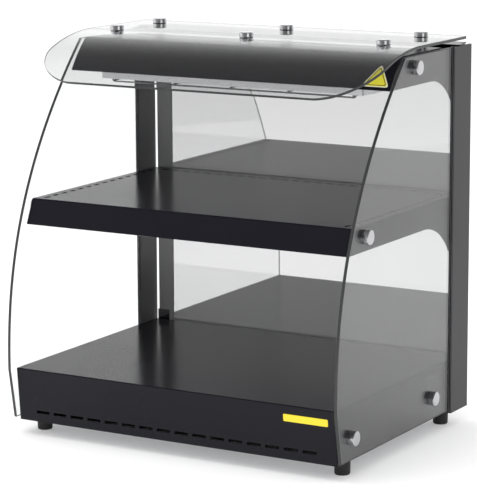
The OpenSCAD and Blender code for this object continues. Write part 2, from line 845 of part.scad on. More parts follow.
base_cover();
base_pan();
rear_panel();
deck_heating_mat();
deck_insulation();
terminal_block();
thermostat_body();
thermostat_shaft();
thermostat_knob();
dial_plate();
power_switch_housing();
power_rocker();
lamp_switch_housing();
lamp_rocker();
indicator_lamp();
cord_gland();
gland_nut();
foot(foot_places[0]);  // foot_front_left
foot(foot_places[1]);  // foot_front_right
foot(foot_places[2]);  // foot_rear_left
foot(foot_places[3]);  // foot_rear_right
foot_screws();
post(-1);  // post_left
post(1);  // post_right
post_end_caps();
post_spacers();
post_screws();
shelf_top();
shelf_bottom();
shelf_bracket(-1);  // shelf_bracket_left
shelf_bracket(1);  // shelf_bracket_right
shelf_heating_mat();
shelf_insulation();
hood_shell();
hood_bottom();
hood_bracket(-1);  // hood_bracket_left
hood_bracket(1);  // hood_bracket_right
lamp_reflector();
lamp_tube();
lamp_holders();
lamp_guard();
top_crossbar();
canopy();
canopy_spacers();
canopy_caps();
side_pane(-1);  // side_pane_left
side_pane(1);  // side_pane_right
side_spacers();
side_caps();
stud_nuts();
door_mirror();
door_handle();
pivot_clamp_top();
pivot_clamp_bottom();
pivot_bush_top();
pivot_bracket_bottom();
catch_magnet();
catch_plate();
front_badge();
corner_label();
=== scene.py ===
"""Heated countertop food display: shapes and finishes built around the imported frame.

Laid out as an add-on and run as a script. Lengths inside the shape functions are millimetres,
with y measured back from the base's top front edge, as on the part's own drawing.
"""

import json
import math

import bmesh
import bpy
import numpy as np
from bpy.props import FloatProperty, FloatVectorProperty, PointerProperty
from mathutils import Matrix, Vector


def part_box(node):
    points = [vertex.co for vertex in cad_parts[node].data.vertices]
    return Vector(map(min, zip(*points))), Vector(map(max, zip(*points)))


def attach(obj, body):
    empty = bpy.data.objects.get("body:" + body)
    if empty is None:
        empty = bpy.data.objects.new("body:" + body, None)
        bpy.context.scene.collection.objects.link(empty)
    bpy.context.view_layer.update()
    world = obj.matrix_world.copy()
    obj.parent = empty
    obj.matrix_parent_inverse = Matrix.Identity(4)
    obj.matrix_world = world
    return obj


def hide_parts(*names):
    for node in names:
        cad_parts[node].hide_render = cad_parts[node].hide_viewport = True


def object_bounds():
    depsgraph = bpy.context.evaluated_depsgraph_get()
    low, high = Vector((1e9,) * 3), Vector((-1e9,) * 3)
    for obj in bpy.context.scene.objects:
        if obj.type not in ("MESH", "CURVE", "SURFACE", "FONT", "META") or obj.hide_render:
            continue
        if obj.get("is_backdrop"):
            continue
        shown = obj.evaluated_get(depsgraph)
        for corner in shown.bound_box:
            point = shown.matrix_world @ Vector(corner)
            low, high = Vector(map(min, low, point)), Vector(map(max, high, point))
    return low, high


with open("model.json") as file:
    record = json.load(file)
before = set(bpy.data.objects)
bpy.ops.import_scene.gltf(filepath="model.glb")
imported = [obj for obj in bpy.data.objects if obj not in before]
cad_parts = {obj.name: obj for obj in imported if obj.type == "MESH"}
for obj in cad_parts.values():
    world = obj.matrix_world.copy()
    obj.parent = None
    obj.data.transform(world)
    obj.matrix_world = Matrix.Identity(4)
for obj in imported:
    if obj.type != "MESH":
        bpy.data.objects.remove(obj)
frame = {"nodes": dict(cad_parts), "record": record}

bl_info = {
    "name": "Heated Food Display",
    "version": (1, 0, 0),
    "blender": (4, 5, 0),
    "location": "View3D > Sidebar > Food Display",
    "description": "Builds a heated countertop food display around its CAD frame",
    "category": "Object",
}

CAD_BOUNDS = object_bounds()
MM = 0.001
FRONT_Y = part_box("base_cover")[0].y
SLOT_OF = {row["node"]: row["material_slot"] for row in frame["record"]["subparts"]}
UP = (0, 0, 1)
SIDES = (-1, 1)
SIDE_NAMES = ((-1, "left"), (1, "right"))


def drawn(node):
    """Low and high corners of a CAD node, in millimetres on the drawing."""
    low, high = (np.array(corner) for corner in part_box(node))
    shift = np.array([0, FRONT_Y, 0])
    return (low - shift) / MM, (high - shift) / MM


# ---- Settings a user would change ----


def length_setting(name, description, default, low, high):
    return FloatProperty(
        name=name, description=description, default=default, min=low, max=high, unit="LENGTH"
    )


def level_setting(name, description, default, high, unit="NONE"):
    return FloatProperty(
        name=name, description=description, default=default, min=0, max=high, unit=unit
    )


def colour_setting(name, description, default):
    return FloatVectorProperty(
        name=name, description=description, default=default, min=0, max=1, size=3, subtype="COLOR"
    )


class DisplaySizes(bpy.types.PropertyGroup):
    """Small dimensions that the CAD frame leaves open"""

    bend: length_setting("Sheet bend", "Outside radius of the folds in the sheet", 0.0017, 0.0016, 0.006)
    sheet: length_setting("Sheet thickness", "Thickness of the coated steel sheet", 0.0015, 0.0005, 0.002)
    glass_chamfer: length_setting("Glass chamfer", "Width of the ground edges", 0.0006, 0.0001, 0.0015)
    cap_rounding: length_setting("Cap rounding", "Edge radius of the polished caps", 0.0013, 0.0002, 0.003)
    wire: length_setting("Guard wire", "Diameter of the lamp guard's wire", 0.0022, 0.001, 0.004)


class DisplayColours(bpy.types.PropertyGroup):
    """Colours of the main finishes"""

    coat: colour_setting("Body coat", "Colour of the powder coat on the body", (0.0045, 0.0045, 0.0085))
    post: colour_setting("Post coat", "Colour of the powder coat on the rear posts", (0.026, 0.026, 0.029))
    glass: colour_setting("Glass", "Tint at the surface of the clear panes", (0.985, 0.988, 0.988))
    glass_body: colour_setting("Glass depth", "Tint that light takes inside the glass", (0.44, 0.50, 0.50))
    canopy: colour_setting("Canopy glass", "Tint of the bent sheet on top", (0.87, 0.878, 0.878))
    mirror: colour_setting("Mirror", "Tint of the mirrored door", (0.86, 0.86, 0.865))
    badge: colour_setting("Badge", "Colour of the blank bar on the front", (0.93, 0.72, 0.015))
    label: colour_setting("Corner label", "Colour of the blank triangle on the hood", (0.84, 0.75, 0.035))


class DisplayStudio(bpy.types.PropertyGroup):
    """Floor and light around the object"""

    floor: colour_setting("Floor", "Colour of the floor", (0.82, 0.82, 0.82))
    backdrop: level_setting("Backdrop", "Brightness of the rear left of the studio, in mirrors", 1.32, 4)
    room: level_setting("Room", "Brightness of the unlit parts of the studio, in reflections", 0.26, 4)
    tent: level_setting("Tent", "Brightness of the tent that lights the object", 1.45, 4)
    # Painted shade: the share of the floor's paleness left at its right, in reflections only
    floor_dim: level_setting("Dim floor", "Share of the floor's paleness reflected at right", 0.85, 1)
    floor_lift: level_setting("Floor lift", "Glow of the floor where it is seen directly", 0.2, 1)
    key_power: level_setting("Key light", "Power of the large light overhead", 30, 1000, unit="POWER")


# ---- Surfaces worked out with numpy ----


class Shape:
    """Points and faces of several surfaces, gathered before they become one mesh."""

    def __init__(self):
        self.points, self.faces, self.finishes, self.count = [], [], [], 0

    def add(self, points, faces, finish=0):
        points = np.asarray(points, float).reshape(-1, 3)
        faces = np.asarray(faces, int) + self.count
        self.points.append(points)
        self.faces.extend(faces.tolist())
        self.finishes.extend(np.broadcast_to(finish, len(faces)).tolist())
        self.count += len(points)


def quads(rows, columns, close_rows=False, close_columns=False):
    """Faces joining each point of a grid to its next row and column, wrapping round where closed."""
    r, c = np.meshgrid(
        np.arange(rows if close_rows else rows - 1),
        np.arange(columns if close_columns else columns - 1),
        indexing="ij",
    )
    r2, c2 = (r + 1) % rows, (c + 1) % columns
    corners = [r * columns + c, r * columns + c2, r2 * columns + c2, r2 * columns + c]
    return np.stack(corners, -1).reshape(-1, 4)


def rounded(corners, radius, steps=5, closed=False):
    """Corners replaced by circular arcs.

    Each is a rational quadratic between its tangent points, pulled to the corner by the cosine of
    half the turn.
    """
    p = np.asarray(corners, float)
    r = np.broadcast_to(np.asarray(radius, float), len(p)).copy()
    back, ahead = np.roll(p, 1, 0) - p, np.roll(p, -1, 0) - p
    if not closed:
        r[[0, -1]] = 0
        back[0], ahead[-1] = -ahead[0], -back[-1]
    back_len, ahead_len = np.linalg.norm(back, axis=1), np.linalg.norm(ahead, axis=1)
    back, ahead = back / back_len[:, None], ahead / ahead_len[:, None]
    turn = np.pi - np.arccos(np.clip((back * ahead).sum(1), -1, 1))
    reach = np.minimum(r * np.tan(turn / 2), 0.49 * np.minimum(back_len, ahead_len))
    start, end = p + back * reach[:, None], p + ahead * reach[:, None]
    s = np.linspace(0, 1, steps + 1)[None, :, None]
    pull = 2 * s * (1 - s) * np.cos(turn / 2)[:, None, None]
    curve = ((1 - s) ** 2 * start[:, None] + pull * p[:, None] + s**2 * end[:, None]) / (
        (1 - s) ** 2 + pull + s**2
    )
    curve = curve.reshape(-1, p.shape[1])
    apart = np.linalg.norm(curve - np.roll(curve, 1, 0), axis=1) > 1e-4
    apart[0] = apart[0] if closed else True
    return curve[apart]


def rectangle(left, bottom, right, top):
    """The corners of a rectangle, in order."""
    return [(left, bottom), (right, bottom), (right, top), (left, top)]


def rod(radius, length, rounding, steps=3):
    """Half the outline of a plain rod, ready to be turned."""
    return rounded(rectangle(0, 0, radius, length), rounding, steps)


def evenly(outline, spacing, closed=True):
    """The outline with more points on its long edges, none further apart than spacing."""
    p = np.vstack([outline, outline[:1]]) if closed else np.asarray(outline, float)
    at = np.concatenate([[0], np.cumsum(np.linalg.norm(np.diff(p, axis=0), axis=1))])
    extra = np.arange(0, at[-1], spacing)
    near = np.abs(extra[:, None] - at[None]).min(1) > spacing * 0.3
    wanted = np.sort(np.concatenate([at[:-1] if closed else at, extra[near]]))
    return np.stack([np.interp(wanted, at, p[:, k]) for k in range(p.shape[1])], -1)


def inward(outline):
    """For each point of a closed outline, the mitred step that moves both its edges in by one."""
    edge = np.roll(outline, -1, 0) - outline
    area = (outline[:, 0] * np.roll(outline[:, 1], -1) - np.roll(outline[:, 0], -1) * outline[:, 1]).sum()
    normal = np.stack([-edge[:, 1], edge[:, 0]], -1) * np.sign(area)
    normal /= np.linalg.norm(edge, axis=1)[:, None]
    before = np.roll(normal, 1, 0)
    return (before + normal) / (1 + (before * normal).sum(1))[:, None]


def slab(shape, outline, place, low, high, edge=0.5, rings=2, steps=3, finish=0, rim_finish=None):
    """Closed sheet with a rounded rim.

    The outline shrinks to its middle over both faces and follows a quarter circle at each edge, and
    place turns (across, along, height) into a point.
    """
    outline = np.asarray(outline, float)
    middle, step = outline.mean(0), inward(outline)
    a = np.linspace(0, np.pi / 2, steps + 1)
    inset = np.concatenate([np.full(rings, edge), edge * (1 - np.sin(a))])
    share = np.concatenate([np.linspace(0, 1, rings, endpoint=False), np.ones(steps + 1)])
    height = np.concatenate([np.full(rings, high), high - edge * (1 - np.cos(a))])
    inset, share = np.concatenate([inset, inset[::-1]]), np.concatenate([share, share[::-1]])
    height = np.concatenate([height, (low + high) - height[::-1]])
    loops = outline[None] + inset[:, None, None] * step[None]
    loops = middle + share[:, None, None] * (loops - middle)
    tall = np.broadcast_to(height[:, None], loops.shape[:2])
    points = place(loops[..., 0], loops[..., 1], tall)
    rows, columns = loops.shape[:2]
    kinds = np.full(rows - 1, finish if rim_finish is None else rim_finish)
    kinds[:rings], kinds[-rings:] = finish, finish
    shape.add(points, quads(rows, columns, close_columns=True), np.repeat(kinds, columns))


def leaf(shape, along, left, right, place, low, high, chamfer=0.4, columns=6, finish=0, rim_finish=None):
    """Closed sheet between two edges.

    Each row runs from left to right at its place along: over the top, round a chamfer, back
    underneath and round the other chamfer.
    """
    along = np.asarray(along, float)
    first, last = along[0] + chamfer, along[-1] - chamfer
    between = along[(along > first + chamfer / 2) & (along < last - chamfer / 2)]
    along = np.concatenate([along[:1], [first], between, [last], along[-1:]])
    start, end = left(along)[:, None], right(along)[:, None]
    share = np.linspace(0, 1, columns)[None]
    face = start + chamfer + (end - start - 2 * chamfer) * share
    across = np.concatenate([face, end, end, face[:, ::-1], start, start], 1)
    top, under = np.full(len(along), float(high)), np.full(len(along), float(low))
    top[[0, -1]] -= chamfer
    under[[0, -1]] += chamfer
    rim = [np.full(len(along), high - chamfer), np.full(len(along), low + chamfer)]
    tall = np.concatenate(
        [np.repeat(top[:, None], columns, 1), rim[0][:, None], rim[1][:, None]]
        + [np.repeat(under[:, None], columns, 1), rim[1][:, None], rim[0][:, None]],
        1,
    )
    rows, around = across.shape
    points = place(across, np.repeat(along[:, None], around, 1), tall)
    rim_finish = finish if rim_finish is None else rim_finish
    kinds = np.full((rows - 1, around), rim_finish)
    kinds[1:-1, : columns - 1] = finish
    kinds[1:-1, columns + 2 : 2 * columns + 1] = finish
    shape.add(points, quads(rows, around, close_columns=True), kinds.ravel())
    k = np.arange(columns - 1)
    for row in (0, rows - 1):
        base = row * around
        strip = np.stack([k, k + 1, 2 * columns - k, 2 * columns + 1 - k], -1)
        right_end = columns - 1 + np.arange(4)
        left_end = [0, *(2 * columns + 1 + np.arange(3))]
        ends = np.array([right_end, left_end])
        shape.faces.extend((np.vstack([strip, ends]) + base + shape.count - rows * around).tolist())
        shape.finishes.extend([int(rim_finish)] * (len(strip) + 2))


def turned(shape, profile, at, axis, sides=48, finish=0, ripple=0, lobes=0):
    """A profile of (radius, distance) turned about an axis through at.

    With lobes, the radius swells and sinks as a cosine of the angle.
    """
    profile = np.asarray(profile, float)
    axis = np.asarray(axis, float) / np.linalg.norm(axis)
    side = np.cross(axis, [0, 0, 1] if abs(axis[2]) < 0.9 else [0, 1, 0])
    side /= np.linalg.norm(side)
    other = np.cross(axis, side)
    a = np.linspace(0, 2 * np.pi, sides, endpoint=False)
    spoke = np.cos(a)[:, None] * side + np.sin(a)[:, None] * other
    radius = profile[:, 0, None] * (1 + ripple * np.cos(lobes * a))[None]
    points = np.asarray(at, float) + radius[..., None] * spoke[None] + profile[:, 1, None, None] * axis
    shape.add(points, quads(len(profile), sides, close_columns=True), finish)


def carried(shape, loop, path, up, finish=0):
    """A closed loop carried along a path, with both ends closed.

    Each point is the path's own point plus the loop's offsets along the path's side and its up.
    """
    path, loop = np.asarray(path, float), np.asarray(loop, float)
    ahead = np.gradient(path, axis=0)
    ahead /= np.linalg.norm(ahead, axis=1)[:, None]
    side = np.cross(ahead, up)
    side /= np.linalg.norm(side, axis=1)[:, None]
    lift = np.cross(side, ahead)
    points = path[:, None] + loop[None, :, :1] * side[:, None] + loop[None, :, 1:] * lift[:, None]
    rows, columns = points.shape[:2]
    shape.add(points, quads(rows, columns, close_columns=True), finish)
    first = shape.count - rows * columns
    for start in (first, first + (rows - 1) * columns):
        shape.faces.append(list(range(start, start + columns)))
        shape.finishes.append(finish)


def circle(radius, sides=12):
    """Points evenly round a circle."""
    a = np.linspace(0, 2 * np.pi, sides, endpoint=False)
    return radius * np.stack([np.cos(a), np.sin(a)], -1)


def grid_lines(low, high, radius, cuts=()):
    """Places of grid lines: five over each bend, one just past it, and one at each cut."""
    bend = np.append(radius * np.linspace(0, 1, 5), radius + 0.4)
    lines = np.concatenate([low + bend, high - bend, np.ravel(cuts)])
    return np.unique(np.round(lines, 4))


def folded(shape, low, high, radius, walls, square=(), cuts=None, keep=None, lean=None):
    """Walls of a box folded from one sheet.

    Each point of a plain wall moves to the bend radius from its nearest point of the same box
    shrunk by that radius. Sides named in square are left without a bend.
    """
    low, high = np.asarray(low, float), np.asarray(high, float)
    inner_low, inner_high = low + radius, high - radius
    for name in square:
        axis = "xyz".index(name[1])
        (inner_low if name[0] == "-" else inner_high)[axis] = -1e6 if name[0] == "-" else 1e6
    for name in walls:
        axis = "xyz".index(name[1])
        spans = [k for k in range(3) if k != axis]
        wall_cuts = (cuts or {}).get(name, ((), ()))
        lines = [grid_lines(low[k], high[k], radius, c) for k, c in zip(spans, wall_cuts)]
        u, v = np.meshgrid(*lines, indexing="ij")
        q = np.zeros(u.shape + (3,))
        q[..., axis] = low[axis] if name[0] == "-" else high[axis]
        q[..., spans[0]], q[..., spans[1]] = u, v
        nearest = np.clip(q, inner_low, inner_high)
        away = q - nearest
        away /= np.linalg.norm(away, axis=-1, keepdims=True)
        points = nearest + radius * away
        faces = quads(*u.shape)
        outward = np.zeros(3)
        outward[axis] = -1 if name[0] == "-" else 1
        if np.dot(np.cross(*np.eye(3)[spans]), outward) < 0:
            faces = faces[:, ::-1]
        centres = q.reshape(-1, 3)[faces].mean(1)
        if keep is not None:
            faces = faces[keep(name, centres)]
        shape.add(points if lean is None else lean(points), faces)


def inside_any(centres, holes):
    """True for each centre that lies in one of the holes, given as (low, low, high, high)."""
    holes = np.asarray(holes, float)
    a, b = centres[:, 0, None], centres[:, 1, None]
    return ((a > holes[:, 0]) & (b > holes[:, 1]) & (a < holes[:, 2]) & (b < holes[:, 3])).any(1)


def make_piece(name, shape, body, slot, stands_for=(), finishes=None, wall=0, bevel=0, sharp=32, even=True):
    """Makes the mesh, welds its seams, turns its faces outwards, and gives it its body and finishes."""
    points = np.concatenate(shape.points) * MM + np.array([0, FRONT_Y, 0])
    mesh = bpy.data.meshes.new(name)
    mesh.from_pydata(points.tolist(), [], shape.faces)
    mesh.polygons.foreach_set("material_index", shape.finishes)
    bm = bmesh.new()
    bm.from_mesh(mesh)
    bmesh.ops.remove_doubles(bm, verts=bm.verts, dist=2e-6)
    bmesh.ops.dissolve_degenerate(bm, edges=bm.edges, dist=1e-6)
    bmesh.ops.recalc_face_normals(bm, faces=bm.faces)
    bm.to_mesh(mesh)
    bm.free()
    mesh.shade_smooth()
    mesh.set_sharp_from_angle(angle=math.radians(sharp))
    for entry in finishes or [slot]:
        mesh.materials.append(finish_of(entry))
    piece = bpy.data.objects.new(name, mesh)
    bpy.context.scene.collection.objects.link(piece)
    if wall:
        solid = piece.modifiers.new("wall", "SOLIDIFY")
        solid.thickness, solid.offset = wall, -1
        solid.use_even_offset = True
    if bevel:
        edge = piece.modifiers.new("edge", "BEVEL")
        edge.width, edge.segments = bevel, 2
        edge.limit_method, edge.angle_limit = "ANGLE", math.radians(50)
    if even:
        normals = piece.modifiers.new("even_shading", "WEIGHTED_NORMAL")
        normals.keep_sharp = True
    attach(piece, body)
    if stands_for:
        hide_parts(*stands_for)
    return piece


# ---- Finishes ----


class Web:
    """Short calls for adding nodes to a tree and joining them."""

    def __init__(self, tree):
        self.tree = tree

    def add(self, kind, inputs=None, **settings):
        node = self.tree.nodes.new(kind)
        for key, value in settings.items():
            setattr(node, key, value)
        for key, value in (inputs or {}).items():
            if isinstance(value, bpy.types.NodeSocket):
                self.tree.links.new(value, node.inputs[key])
            else:
                node.inputs[key].default_value = value
        return node

    def math(self, operation, *values):
        return self.add("ShaderNodeMath", dict(enumerate(values)), operation=operation).outputs[0]

    def vector(self, operation, first, second):
        return self.add("ShaderNodeVectorMath", {0: first, 1: second}, operation=operation)

    def noise(self, vector, scale, detail=2.0, roughness=0.5):
        values = {"Vector": vector, "Scale": scale, "Detail": detail, "Roughness": roughness}
        return self.add("ShaderNodeTexNoise", values).outputs["Fac"]

    def spread(self, value, low, high):
        """value from 0 to 1, spread to low to high."""
        inputs = {"Value": value, "To Min": low, "To Max": high}
        return self.add("ShaderNodeMapRange", inputs).outputs["Result"]

    def blend(self, factor, first, second):
        node = self.add("ShaderNodeMix", data_type="RGBA")
        for index, value in ((0, factor), (6, first), (7, second)):
            if isinstance(value, bpy.types.NodeSocket):
                self.tree.links.new(value, node.inputs[index])
            else:
                node.inputs[index].default_value = value
        return node.outputs[2]


def detail_group(name, build):
    """A node group with the sockets that every detail shares, built once."""
    tree = bpy.data.node_groups.get(name)
    if tree:
        return tree
    tree = bpy.data.node_groups.new(name, "ShaderNodeTree")
    sockets = [
        ("Vector", "NodeSocketVector", "INPUT"),
        ("Color", "NodeSocketColor", "INPUT"),
        ("Roughness", "NodeSocketFloat", "INPUT"),
        ("Scale", "NodeSocketFloat", "INPUT"),
        ("Amount", "NodeSocketFloat", "INPUT"),
        ("Color", "NodeSocketColor", "OUTPUT"),
        ("Roughness", "NodeSocketFloat", "OUTPUT"),
        ("Height", "NodeSocketFloat", "OUTPUT"),
    ]
    for label, kind, side in sockets:
        tree.interface.new_socket(label, in_out=side, socket_type=kind)
    web = Web(tree)
    build(web, web.add("NodeGroupInput").outputs, web.add("NodeGroupOutput").inputs)
    return tree


def send(web, sink, **values):
    """Joins the values to the group's outputs."""
    for key, value in values.items():
        web.tree.links.new(value, sink[key.capitalize()])


def coat_detail(web, source, sink):
    """Powder coat: a fine orange-peel skin, broad patches of sheen and a thin veil of dust."""
    peel = web.noise(source["Vector"], source["Scale"], 2.0, 0.55)
    patches = web.noise(source["Vector"], 9.0, 4.0, 0.6)
    specks = web.noise(source["Vector"], 2600.0, 1.0, 0.5)
    dusty = web.math("MULTIPLY", web.spread(patches, 0.0, 0.16), source["Amount"])
    dusty = web.math("ADD", dusty, web.math("MULTIPLY", web.spread(specks, -0.02, 0.05), source["Amount"]))
    colour = web.blend(web.math("MAXIMUM", dusty, 0.0), source["Color"], (0.05, 0.05, 0.055, 1))
    rough = web.math("ADD", source["Roughness"], web.spread(patches, -0.035, 0.035))
    rough = web.math("ADD", rough, web.spread(peel, -0.03, 0.03))
    send(web, sink, color=colour, roughness=rough, height=peel)


def brushed_detail(web, source, sink):
    """Brushed or drawn metal: long fine lines that follow the stretched coordinates."""
    lines = web.noise(source["Vector"], source["Scale"], 3.0, 0.65)
    patches = web.noise(source["Vector"], 4.0, 2.0, 0.5)
    shade = web.math("MULTIPLY", web.spread(lines, 0.0, 0.55), source["Amount"])
    darker = web.vector("MULTIPLY", source["Color"], (0.62, 0.62, 0.63))
    colour = web.blend(shade, source["Color"], darker.outputs[0])
    uneven = web.math("MULTIPLY", web.spread(lines, -0.12, 0.12), source["Amount"])
    rough = web.math("ADD", source["Roughness"], uneven)
    rough = web.math("ADD", rough, web.spread(patches, -0.02, 0.02))
    send(web, sink, color=colour, roughness=rough, height=lines)


def moulded_detail(web, source, sink):
    """Moulded plastic, rubber or ceramic: a fine spark-eroded grain with faint cloudy shine."""
    grain = web.noise(source["Vector"], source["Scale"], 4.0, 0.7)
    clouds = web.noise(source["Vector"], 40.0, 3.0, 0.5)
    paler = web.vector("ADD", source["Color"], (0.012, 0.012, 0.012))
    amount = web.math("MULTIPLY", web.spread(grain, 0.0, 0.6), source["Amount"])
    colour = web.blend(amount, source["Color"], paler.outputs[0])
    rough = web.math("ADD", source["Roughness"], web.spread(clouds, -0.05, 0.05))
    send(web, sink, color=colour, roughness=rough, height=grain)


def handled_detail(web, source, sink):
    """Polished glass or metal: nearly clean, with soft wiping marks that only lift the roughness."""
    wipes = web.noise(source["Vector"], source["Scale"], 3.0, 0.6)
    marks = web.math("MULTIPLY", web.math("MAXIMUM", web.spread(wipes, -0.6, 0.9), 0.0), source["Amount"])
    rough = web.math("ADD", source["Roughness"], web.math("MULTIPLY", marks, 0.05))
    tinted = web.vector("MULTIPLY", source["Color"], (0.975, 0.975, 0.975))
    colour = web.blend(marks, source["Color"], tinted.outputs[0])
    send(web, sink, color=colour, roughness=rough, height=wipes)


def fibre_detail(web, source, sink):
    """Mineral wool or woven silicone: crossed fibres, each a stretched noise."""
    stretch = web.add("ShaderNodeMapping", {"Vector": source["Vector"], "Scale": (8.0, 1.0, 1.0)})
    cross = web.add("ShaderNodeMapping", {"Vector": source["Vector"], "Scale": (1.0, 8.0, 1.0)})
    first = web.noise(stretch.outputs[0], source["Scale"], 5.0, 0.7)
    second = web.noise(cross.outputs[0], source["Scale"], 5.0, 0.7)
    fibres = web.math("MULTIPLY", web.math("ADD", first, second), 0.5)
    shaded = web.vector("MULTIPLY", source["Color"], (0.6, 0.58, 0.52))
    colour = web.blend(web.math("MULTIPLY", fibres, source["Amount"]), source["Color"], shaded.outputs[0])
    rough = web.math("ADD", source["Roughness"], web.spread(fibres, -0.05, 0.05))
    send(web, sink, color=colour, roughness=rough, height=fibres)


def look(detail, colour, rough, scale, amount, metallic=0, bump=0, stretch=(1, 1, 1), shader=None):
    """What a finish is made of; bump is its depth in millimetres, and a colour in words is a setting."""
    return detail, colour, rough, scale, amount, metallic, bump, stretch, shader or {}


PLATE_GLASS = {"Transmission Weight": 1.0, "IOR": 1.5}
# How strongly light takes the glass's tint, per metre
GLASS_DENSITY = 3.0
FINISHES = {
    "black_coat": look(coat_detail, "coat", 0.21, 950, 0.4, bump=0.008, shader={"IOR": 1.31}),
    "post_coat": look(coat_detail, "post", 0.42, 1100, 0.5, bump=0.01, shader={"IOR": 1.5}),
    # Paler copy of the post coat: painted light on the posts' front and inner faces, standing in for the
    # light they catch
    "post_trim": look(coat_detail, (0.12, 0.12, 0.125), 0.3, 1100, 0.4, bump=0.006, shader={"IOR": 1.5}),
    "galvanised": look(moulded_detail, (0.42, 0.43, 0.45), 0.46, 60, 0.5, metallic=1, bump=0.002),
    "clear_glass": look(handled_detail, "glass", 0.0, 6, 0.25, shader=PLATE_GLASS),
    "canopy_glass": look(handled_detail, "canopy", 0.0, 6, 0.25, shader=PLATE_GLASS),
    "mirror_glass": look(handled_detail, "mirror", 0.012, 5, 0.3, metallic=0.73),
    # Ground glass edge painted dark and opaque: painted shade in place of the light that passes through a
    # real glass edge
    "glass_edge": look(handled_detail, (0.035, 0.036, 0.037), 0.26, 40, 0.6),
    "mirror_edge": look(handled_detail, (0.05, 0.09, 0.085), 0.12, 30, 0.5, shader={"Coat Weight": 0.6}),
    "polished_metal": look(
        brushed_detail, (0.74, 0.74, 0.76), 0.11, 900, 0.35,
        metallic=1, bump=0.0015, stretch=(1, 1, 0.06),
    ),
    "satin_cap": look(brushed_detail, (0.70, 0.70, 0.715), 0.19, 900, 0.4, metallic=1, bump=0.0015),
    "satin_steel": look(
        brushed_detail, (0.62, 0.62, 0.64), 0.3, 900, 0.8,
        metallic=1, bump=0.003, stretch=(1, 1, 0.05),
    ),
    "plated_steel": look(brushed_detail, (0.60, 0.60, 0.63), 0.3, 700, 0.5, metallic=1, bump=0.003),
    "foot_rubber": look(moulded_detail, (0.012, 0.012, 0.012), 0.62, 900, 1.0, bump=0.04),
    "heater_silicone": look(fibre_detail, (0.48, 0.15, 0.07), 0.62, 300, 0.8, bump=0.08),
    "glass_wool": look(fibre_detail, (0.80, 0.76, 0.60), 0.92, 150, 1.0, bump=0.5),
    "black_plastic": look(moulded_detail, (0.016, 0.016, 0.017), 0.4, 1300, 1.0, bump=0.02),
    "red_plastic": look(
        moulded_detail, (0.48, 0.018, 0.012), 0.24, 700, 0.4,
        bump=0.006, shader={"Coat Weight": 0.3},
    ),
    "amber_lens": look(
        moulded_detail, (0.85, 0.24, 0.03), 0.16, 500, 0.3,
        bump=0.01, shader={"Coat Weight": 0.7},
    ),
    "thermostat_case": look(
        brushed_detail, (0.58, 0.58, 0.60), 0.34, 600, 0.6,
        metallic=1, bump=0.004, stretch=(1, 0.1, 1),
    ),
    "ivory_plastic": look(moulded_detail, (0.76, 0.73, 0.62), 0.42, 900, 0.6, bump=0.02),
    "dial_aluminium": look(
        brushed_detail, (0.74, 0.74, 0.76), 0.32, 900, 0.7,
        metallic=1, bump=0.003, stretch=(0.05, 1, 1),
    ),
    "reflector_aluminium": look(
        brushed_detail, (0.66, 0.66, 0.675), 0.24, 500, 0.4,
        metallic=1, bump=0.004, stretch=(0.05, 1, 1),
    ),
    "quartz_tube": look(
        handled_detail, (0.97, 0.97, 0.95), 0.02, 20, 0.4,
        shader={"Transmission Weight": 1.0, "IOR": 1.46},
    ),
    "filament": look(moulded_detail, (0.32, 0.31, 0.30), 0.45, 900, 0.8, metallic=1, bump=0.01),
    "lamp_ceramic": look(moulded_detail, (0.82, 0.80, 0.74), 0.66, 600, 1.0, bump=0.05),
    "guard_wire": look(
        brushed_detail, (0.30, 0.30, 0.315), 0.24, 900, 0.5,
        metallic=1, bump=0.002, stretch=(0.1, 1, 1),
    ),
    "badge_yellow": look(moulded_detail, "badge", 0.3, 700, 0.3, bump=0.006, shader={"Coat Weight": 0.4}),
    "label_yellow": look(moulded_detail, "label", 0.34, 700, 0.3, bump=0.006, shader={"Coat Weight": 0.3}),
    "label_rim": look(moulded_detail, (0.80, 0.79, 0.62), 0.34, 700, 0.3, bump=0.006),
    "label_line": look(moulded_detail, (0.02, 0.018, 0.012), 0.4, 700, 0.5, bump=0.006),
    "mark_white": look(moulded_detail, (0.8, 0.8, 0.78), 0.4, 700, 0.3, bump=0.006),
}


def finish_of(slot):
    """The material for a slot: its detail group feeds the shader, and plain numbers sit on it."""
    name = slot + "_finish"
    material = bpy.data.materials.get(name)
    if material:
        return material
    detail, colour, rough, scale, amount, metallic, depth, stretch, constants = FINISHES[slot]
    if isinstance(colour, str):
        colour = tuple(getattr(bpy.context.scene.display_colours, colour))
    material = bpy.data.materials.new(name)
    material.use_nodes = True
    material.node_tree.nodes.clear()
    web = Web(material.node_tree)
    place = web.add("ShaderNodeTexCoord").outputs["Object"]
    place = web.add("ShaderNodeMapping", {"Vector": place, "Scale": stretch}).outputs["Vector"]
    inputs = {"Vector": place, "Color": (*colour, 1), "Roughness": rough, "Scale": scale, "Amount": amount}
    group = web.add("ShaderNodeGroup", node_tree=detail_group(detail.__name__, detail))
    for key, value in inputs.items():
        if isinstance(value, bpy.types.NodeSocket):
            web.tree.links.new(value, group.inputs[key])
        else:
            group.inputs[key].default_value = value
    shader = web.add("ShaderNodeBsdfPrincipled", {"Metallic": metallic, **constants})
    web.tree.links.new(group.outputs["Color"], shader.inputs["Base Color"])
    web.tree.links.new(group.outputs["Roughness"], shader.inputs["Roughness"])
    if depth:
        relief = {"Strength": 0.6, "Distance": depth * MM, "Height": group.outputs["Height"]}
        bump = web.add("ShaderNodeBump", relief)
        web.tree.links.new(bump.outputs["Normal"], shader.inputs["Normal"])
    output = web.add("ShaderNodeOutputMaterial", {"Surface": shader.outputs[0]})
    if slot in ("clear_glass", "canopy_glass"):
        body = (*bpy.context.scene.display_colours.glass_body, 1)
        volume = web.add("ShaderNodeVolumeAbsorption", {"Color": body, "Density": GLASS_DENSITY})
        web.tree.links.new(volume.outputs[0], output.inputs["Volume"])
    return material


# ---- Base, shelf and hood ----

ROOT = "cabinet"
SHELF_ARCH = (250, 97)
HOOD_ARCH = (268, 77)
LEG_Y = 331
